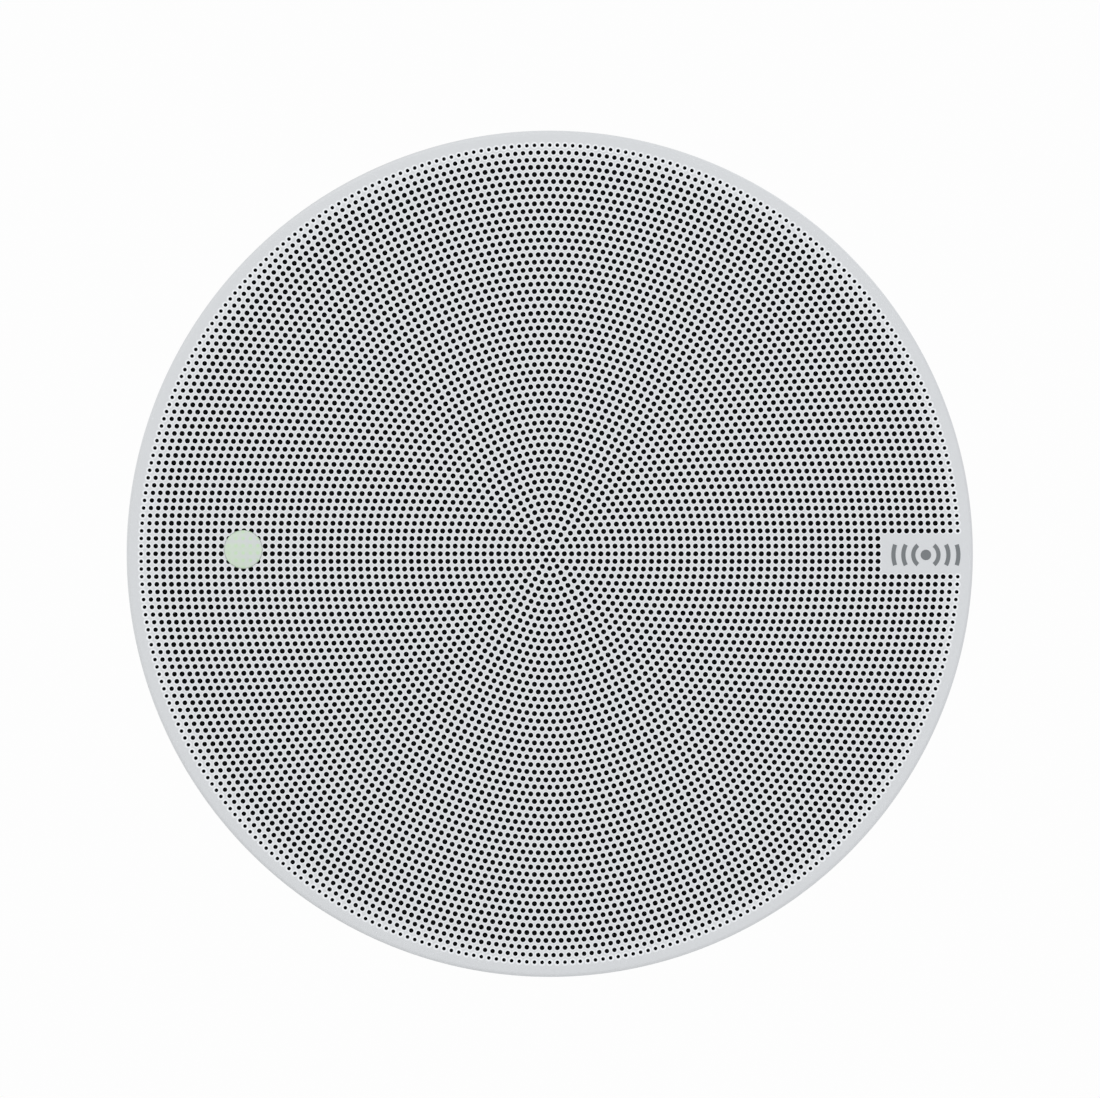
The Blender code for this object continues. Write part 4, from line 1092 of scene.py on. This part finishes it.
def make_heat_sink():
    """An extruded sink: its fins taper, and have ridged sides. Four screws hold it by its corners."""
    low, high = span("heat_sink_cover")
    plate = high.z - 3
    base = plate + 1
    count, thick, taper, ridge, ridges, steps = 11, 2, 0.3, 0.16, 7, 42
    first, last = low.x + 4, high.x - 5.7 - thick
    sink = Shape().slab((low.x, low.y, plate), high, CASE_CORNER, 0.4)
    side = []
    for step in range(steps + 1):
        t = step / steps
        inset = ridge * abs(math.sin(math.pi * ridges * t)) + taper * (1 - t) + (0.3 if step == 0 else 0)
        side.append((low.z + (base - low.z) * t, inset))
    fins = Shape()
    for number in range(count):
        left = first + (last - first) * number / (count - 1)
        outline = [(z, left + inset) for z, inset in side]
        outline += [(z, left + thick - inset) for z, inset in reversed(side)]
        fins.prism(outline, low.y + 5, high.y - 5, "y")
    sink.fuse(fins)
    holes, screws = Shape(), Shape()
    for x in (low.x + 3.2, high.x - 3.2):
        for y in (low.y + 2.5, high.y - 2.5):
            holes.rod((x, y, plate - 1), (x, y, high.z + 1), 1.4, 24)
            screws.add(screw_shape(1.9, 1.3, 1.2, 2.9, 0.7), turned_place((x, y, plate), x, -1))
    sink.cut(holes).place("heat_sink_extruded", "alu", "heat_sink_cover")
    screws.place("heat_sink_screws", "zinc", smooth=50)


def make_cover():
    """The bay's cover, with a sunk panel, grip ribs and a notch for a fingernail."""
    low, high = span("connection_cover")
    front, case_top = span("heat_sink_cover")[1].z, -low.y
    back = front - 2.5
    pin_low, pin_high = span("hinge_pin")
    start, end = pin_low.x + KNUCKLE_LENGTH + 0.5, pin_high.x - KNUCKLE_LENGTH - 0.5
    cover = Shape().slab((low.x, low.y, back), (high.x, case_top, front), CASE_CORNER, 0.4)
    panel = Shape().slab((low.x + 5, low.y + 20, back - 2), (high.x - 5, case_top - 6, back + 0.5), 3)
    panel.rod((40, low.y, back - 0.4), (56, low.y, back - 0.4), 2, 40)
    cover.cut(panel)
    hinge_y = joint_place("cover_hinge").y
    parts = Shape().box((start + 0.5, case_top - 1, back + 0.2), (end - 0.5, hinge_y, front - 0.2))
    for number in range(3):
        y = low.y + 6 + 4 * number
        parts.slab((30, y, back - 1.2), (66, y + 2, back + 0.5), 0.95, 0.4)
    cover.fuse(parts).fuse(hinge_rod(start, end, KNUCKLE_RADIUS, fillet=0.3))
    cover.cut(hinge_rod(start - 5, end + 5, PIN_RADIUS + GAP, 32))
    cover.place("connection_cover_moulded", "grey_abs", "connection_cover", body="cover")


def make_lug():
    """A bracket folded from sheet steel, with rounded ends, and the two rivets that hold it."""
    low, high = span("safety_lug")
    sheet, bend, half, far = 2, 3.2, high.x, 20
    centre = (low.y + bend, high.z - bend)
    strip = [(low.y, low.z), (low.y + sheet, low.z), *arc(centre, bend - sheet, 180, 90, 6)]
    strip += [(high.y, high.z - sheet), (high.y, high.z), *arc(centre, bend, 90, 180, 8)]
    lug = Shape().prism(strip, -half, half, "x")
    lug.combine(Shape().slab((-half, low.y - far, low.z - far), (half, high.y, high.z + far), 4), "INTERSECT")
    upright = Shape().slab((-half, low.z, -high.y - far), (half, high.z + far, far - low.y), 6)
    lug.combine(Shape().add(upright, turn_about("X", 90)), "INTERSECT")
    eye = high.z - 12
    lug.cut(Shape().rod((0, low.y - far, eye), (0, low.y + far, eye), 4.5, 64))
    lug.place("safety_lug_folded", "zinc", "safety_lug", fillet=0.25)
    rivets = Shape()
    for x in (-6.5, 6.5):
        dome = Shape().lathe([(0, 1.3), (1.2, 1.15), (2.1, 0.7), (2.6, 0), (0, 0)], 40)
        rivets.add(dome, turned_place((x, low.y + 11.5, high.z - sheet), 0, -1))
    rivets.place("lug_rivets", "alu")


def make_grommet():
    """A rubber grommet: two lips with the wall's edge in the groove between them, and a thin membrane."""
    low, high = span("cable_grommet")
    at = middle("cable_grommet")
    at.y = span("electronics_case")[0].y + CASE_WALL / 2
    half, lip, groove = CASE_WALL / 2 + GAP, (high.x - low.x) / 2, 8 - GAP
    profile = [(0, half + 1.8), (4, half + 1.8), (5, half + 1.2), (lip, half + 1.2), (lip, half)]
    profile += [(groove, half), (groove, -half), (lip, -half), (lip, -half - 1.2), (7, -half - 1.2)]
    profile += [(6, half - 0.2), (0, half + 0.4)]
    plug = Shape().lathe(soften(profile, 0.4), 72)
    plug = Shape().add(plug, Matrix.Translation(at) @ turn_about("X", 90))
    plug.place("cable_grommet_moulded", "rubber", "cable_grommet", slot="black_plastic")


# --- Connection bay ---

BOARD = 1.6


def make_jack():
    """A plated shell with its port, its key way, two side windows and two spring fingers, and eight pins."""
    low, high = span("network_jack")
    x, seat = (low.x + high.x) / 2, high.z
    shell = Shape().box(low, high, 0.5)
    shell.cut(Shape().box((low.x + 2, low.y - 6, low.z + 2.6), (high.x - 2, low.y + 14, seat - 3)))
    shell.cut(Shape().box((x - 2.5, low.y - 6, low.z + 1), (x + 2.5, low.y + 13, low.z + 3.6)))
    windows = Shape()
    cut_width = Vector((0.35, 0.35, 0))
    for side in (-1, 1):
        at = x + side * 8
        windows.box((at - 0.3, low.y + 5, low.z + 4), (at + 0.3, low.y + 12, low.z + 7))
        at = x + side * 3.6
        near, far = Vector((at - 1.5, low.y + 5, low.z - 1)), Vector((at + 1.5, low.y + 13, low.z + 0.3))
        shell.cut(Shape().box(near, far).cut(Shape().box(near + cut_width, far - cut_width)))
    shell.cut(windows).place("network_jack_shell", "nickel", "network_jack", fillet=0.15)
    pins = Shape()
    for number in range(8):
        at = x + (number - 3.5) * 1.02
        pins.rod((at, low.y + 3, seat - 3.1), (at, low.y + 13.5, seat - 5.6), 0.22, 10)
    pins.place("network_jack_pins", "brass")


def make_terminals():
    low, high = span("terminal_block")
    body, cuts, screws = Shape().box(low, high, 0.4), Shape(), Shape()
    ways = [low.x + 2 + 4 * number for number in range(4)]
    for x in ways:
        cuts.box((x - 1.2, low.y - 5, high.z - 5), (x + 1.2, low.y + 8, high.z - 2))
        cuts.rod((x, low.y + 6, low.z - 5), (x, low.y + 6, high.z - 7), 1.5, 24)
        head = Shape().rod((0, 0, 0), (0, 0, 2), 1.35, 24, 0.2)
        head.cut(Shape().box((-2, -0.25, 1.2), (2, 0.25, 3)))
        screws.add(head, turned_place((x, low.y + 6, high.z - 6.9), 0.5 * x, -1))
    for x in ways[:-1]:
        cuts.box((x + 1.85, low.y - 1, low.z - 1), (x + 2.15, high.y + 1, low.z + 0.8))
    body.cut(cuts).place("terminal_housing", "terminal", "terminal_block", fillet=0.15)
    screws.place("terminal_screws", "zinc", smooth=30)


def make_connector_board():
    """The bay's board and its two screws."""
    low, high = span("connector_board")
    back, y = high.z - BOARD, low.y + 2.6
    board, screws = Shape().slab((low.x, low.y, back), high, 1.5), Shape()
    for x in (low.x + 2.6, high.x - 2.6):
        board.cut(Shape().rod((x, y, back - 1), (x, y, high.z + 1), 1.3, 24))
        screws.add(screw_shape(1.8, 1.2, 1.1, 1.6, 0.5), turned_place((x, y, back), x, -1))
    board.place("connector_board_bare", "board", "connector_board", smooth=30)
    screws.place("connector_board_screws", "zinc", smooth=50)


def make_switch():
    """The button's switch: a square body with a collar round the button."""
    x, y = middle("control_button").xy
    low, high = span("connector_board")
    half, collar, bore, back = 3.5, 2.9, 2.3, high.z - BOARD
    top = back - 3.2
    switch = Shape().slab((x - half, y - half, top), (x + half, y + half, back), 0.8, 0.2)
    switch.fuse(Shape().rod((x, y, low.z), (x, y, top + 1), collar, 40, 0.2))
    switch.cut(Shape().rod((x, y, low.z - 1), (x, y, back - 1), bore, 40))
    switch.place("button_switch", "nylon")


def make_board_parts():
    """Chips with their legs, small two-ended parts and capacitors, on the board's free ground."""
    back = span("connector_board")[1].z - BOARD
    black, tin, cans = Shape(), Shape(), Shape()
    leg_pitch = 0.9

    def block(shape, x, y, width, length, height, fillet=0.0):
        near = (x - width / 2, y - length / 2, back - height)
        shape.box(near, (x + width / 2, y + length / 2, back), fillet)

    for x, y, width, length in ((36, 10, 9, 9), (48, 6, 4, 5)):
        block(black, x, y, width, length, 1.5, 0.15)
        count = int(length / leg_pitch)
        for number in range(count):
            for side in (-1, 1):
                leg = y + (number - (count - 1) / 2) * leg_pitch
                block(tin, x + side * (width / 2 + 0.4), leg, 1, 0.34, 0.7)
    small = (30, 4), (33, 19), (36, 19), (39, 19), (44, 14), (48, 14), (51, 0), (54, 0), (65, 4), (65, 24)
    for x, y in small:
        block(tin, x, y, 2, 1, 0.55, 0.05)
        block(black, x, y, 1.3, 1.04, 0.6, 0.04)
    can = [(0, 5.4), (2.1, 5.4), (2.5, 5.1), (2.5, 0.9), (2.3, 0.7), (2.5, 0.5), (2.5, 0), (0, 0)]
    for x, y in ((52, 22), (66, 12), (66, 18)):
        cans.add(Shape().lathe(can, 32), turned_place((x, y, back), 0, -1))
    black.place("connector_board_chips", "nylon", smooth=30)
    tin.place("connector_board_solder", "zinc", slot="nickel", smooth=30)
    cans.place("connector_board_capacitors", "alu", smooth=30)


def make_button():
    low, high = span("control_button")
    x, y = middle("control_button").xy
    radius, length = (high.x - low.x) / 2, high.z - low.z
    profile = [(0, length - 0.25), (radius * 0.6, length - 0.15), (radius * 0.85, length)]
    profile += [(radius, length - 0.3), (radius, 0), (0, 0)]
    cap = Shape().add(Shape().lathe(profile, 40), turned_place((x, y, high.z), 0, -1))
    cap.place("control_button_cap", "nylon", "control_button", body="button")


for make in (
    make_grille, dress_kept_nodes, make_cloth, make_lens, make_mark, make_screws, make_cone, make_surround,
    make_spider, make_tweeter_dome, make_tweeter_guard, make_arms, make_can, make_case, make_heat_sink,
    make_cover, make_lug, make_grommet, make_jack, make_terminals, make_connector_board, make_switch,
    make_board_parts, make_button,
):
    make()


# --- Camera, light and floor ---

CAMERA_DISTANCE = 4.0
VIEW_WIDTH = 376.8 * MM
SENSOR_WIDTH = 36.0
VIEW_CENTRE = Vector((0.09, -FACE, 1.63)) * MM


def make_camera():
    data = bpy.data.cameras.new("camera")
    data.sensor_fit = "HORIZONTAL"
    data.sensor_width = SENSOR_WIDTH
    data.lens = SENSOR_WIDTH * CAMERA_DISTANCE / VIEW_WIDTH
    data.clip_start, data.clip_end = 0.1, 50
    camera = add_object("camera", data)
    camera.location = VIEW_CENTRE + Vector((0, -CAMERA_DISTANCE, 0))
    camera.rotation_euler = (math.radians(90), 0, 0)
    bpy.context.scene.camera = camera


def make_light(name, place_at, size, power, colour=(1, 1, 1)):
    data = bpy.data.lights.new(name, "AREA")
    data.shape = "DISK"
    data.size = size
    data.energy = power
    data.color = colour
    light = add_object(name, data)
    light.location = place_at
    light.rotation_euler = (-Vector(place_at)).to_track_quat("-Z", "Y").to_euler()
    light.visible_camera = False


def make_world():
    """White, and a little darker as the light on the object than as what the camera sees."""
    world = bpy.data.worlds.new("studio")
    bpy.context.scene.world = world
    world.use_nodes = True
    tree = world.node_tree
    background = tree.nodes["Background"]
    background.inputs["Color"].default_value = (1, 1, 1, 1)
    path = tree.nodes.new("ShaderNodeLightPath")
    strength = tree.nodes.new("ShaderNodeMapRange")
    strength.inputs["To Min"].default_value = 0.80
    strength.inputs["To Max"].default_value = 0.985
    tree.links.new(path.outputs["Is Camera Ray"], strength.inputs["Value"])
    tree.links.new(strength.outputs["Result"], background.inputs["Strength"])


def make_floor():
    mesh = bpy.data.meshes.new("floor")
    shape = bmesh.new()
    bmesh.ops.create_circle(shape, cap_ends=True, segments=128, radius=2.0)
    shape.to_mesh(mesh)
    shape.free()
    floor = add_object("floor", mesh)
    floor.location.z = -0.30
    n = finish("studio_floor", (0.82, 0.82, 0.82), 0.9, mottle=0.01, patch=300, relief=0)
    mesh.materials.append(n.material)


# Where each light is, in metres, its size, its power and its colour
LIGHTS = {
    "key": ((-1.1, -1.6, 1.9), 1.2, 14, (1.0, 1.0, 0.99)),
    "fill": ((1.2, -1.6, -0.02), 0.5, 3.7, (0.95, 0.96, 1.0)),
    "back_key": ((1.3, 1.7, 1.6), 1.0, 12),
    "back_fill": ((-1.5, 1.4, 0.2), 1.2, 5),
}

make_camera()
make_world()
make_floor()
for name, light in LIGHTS.items():
    make_light(name, *light)
bpy.context.scene.view_settings.view_transform = "Standard"
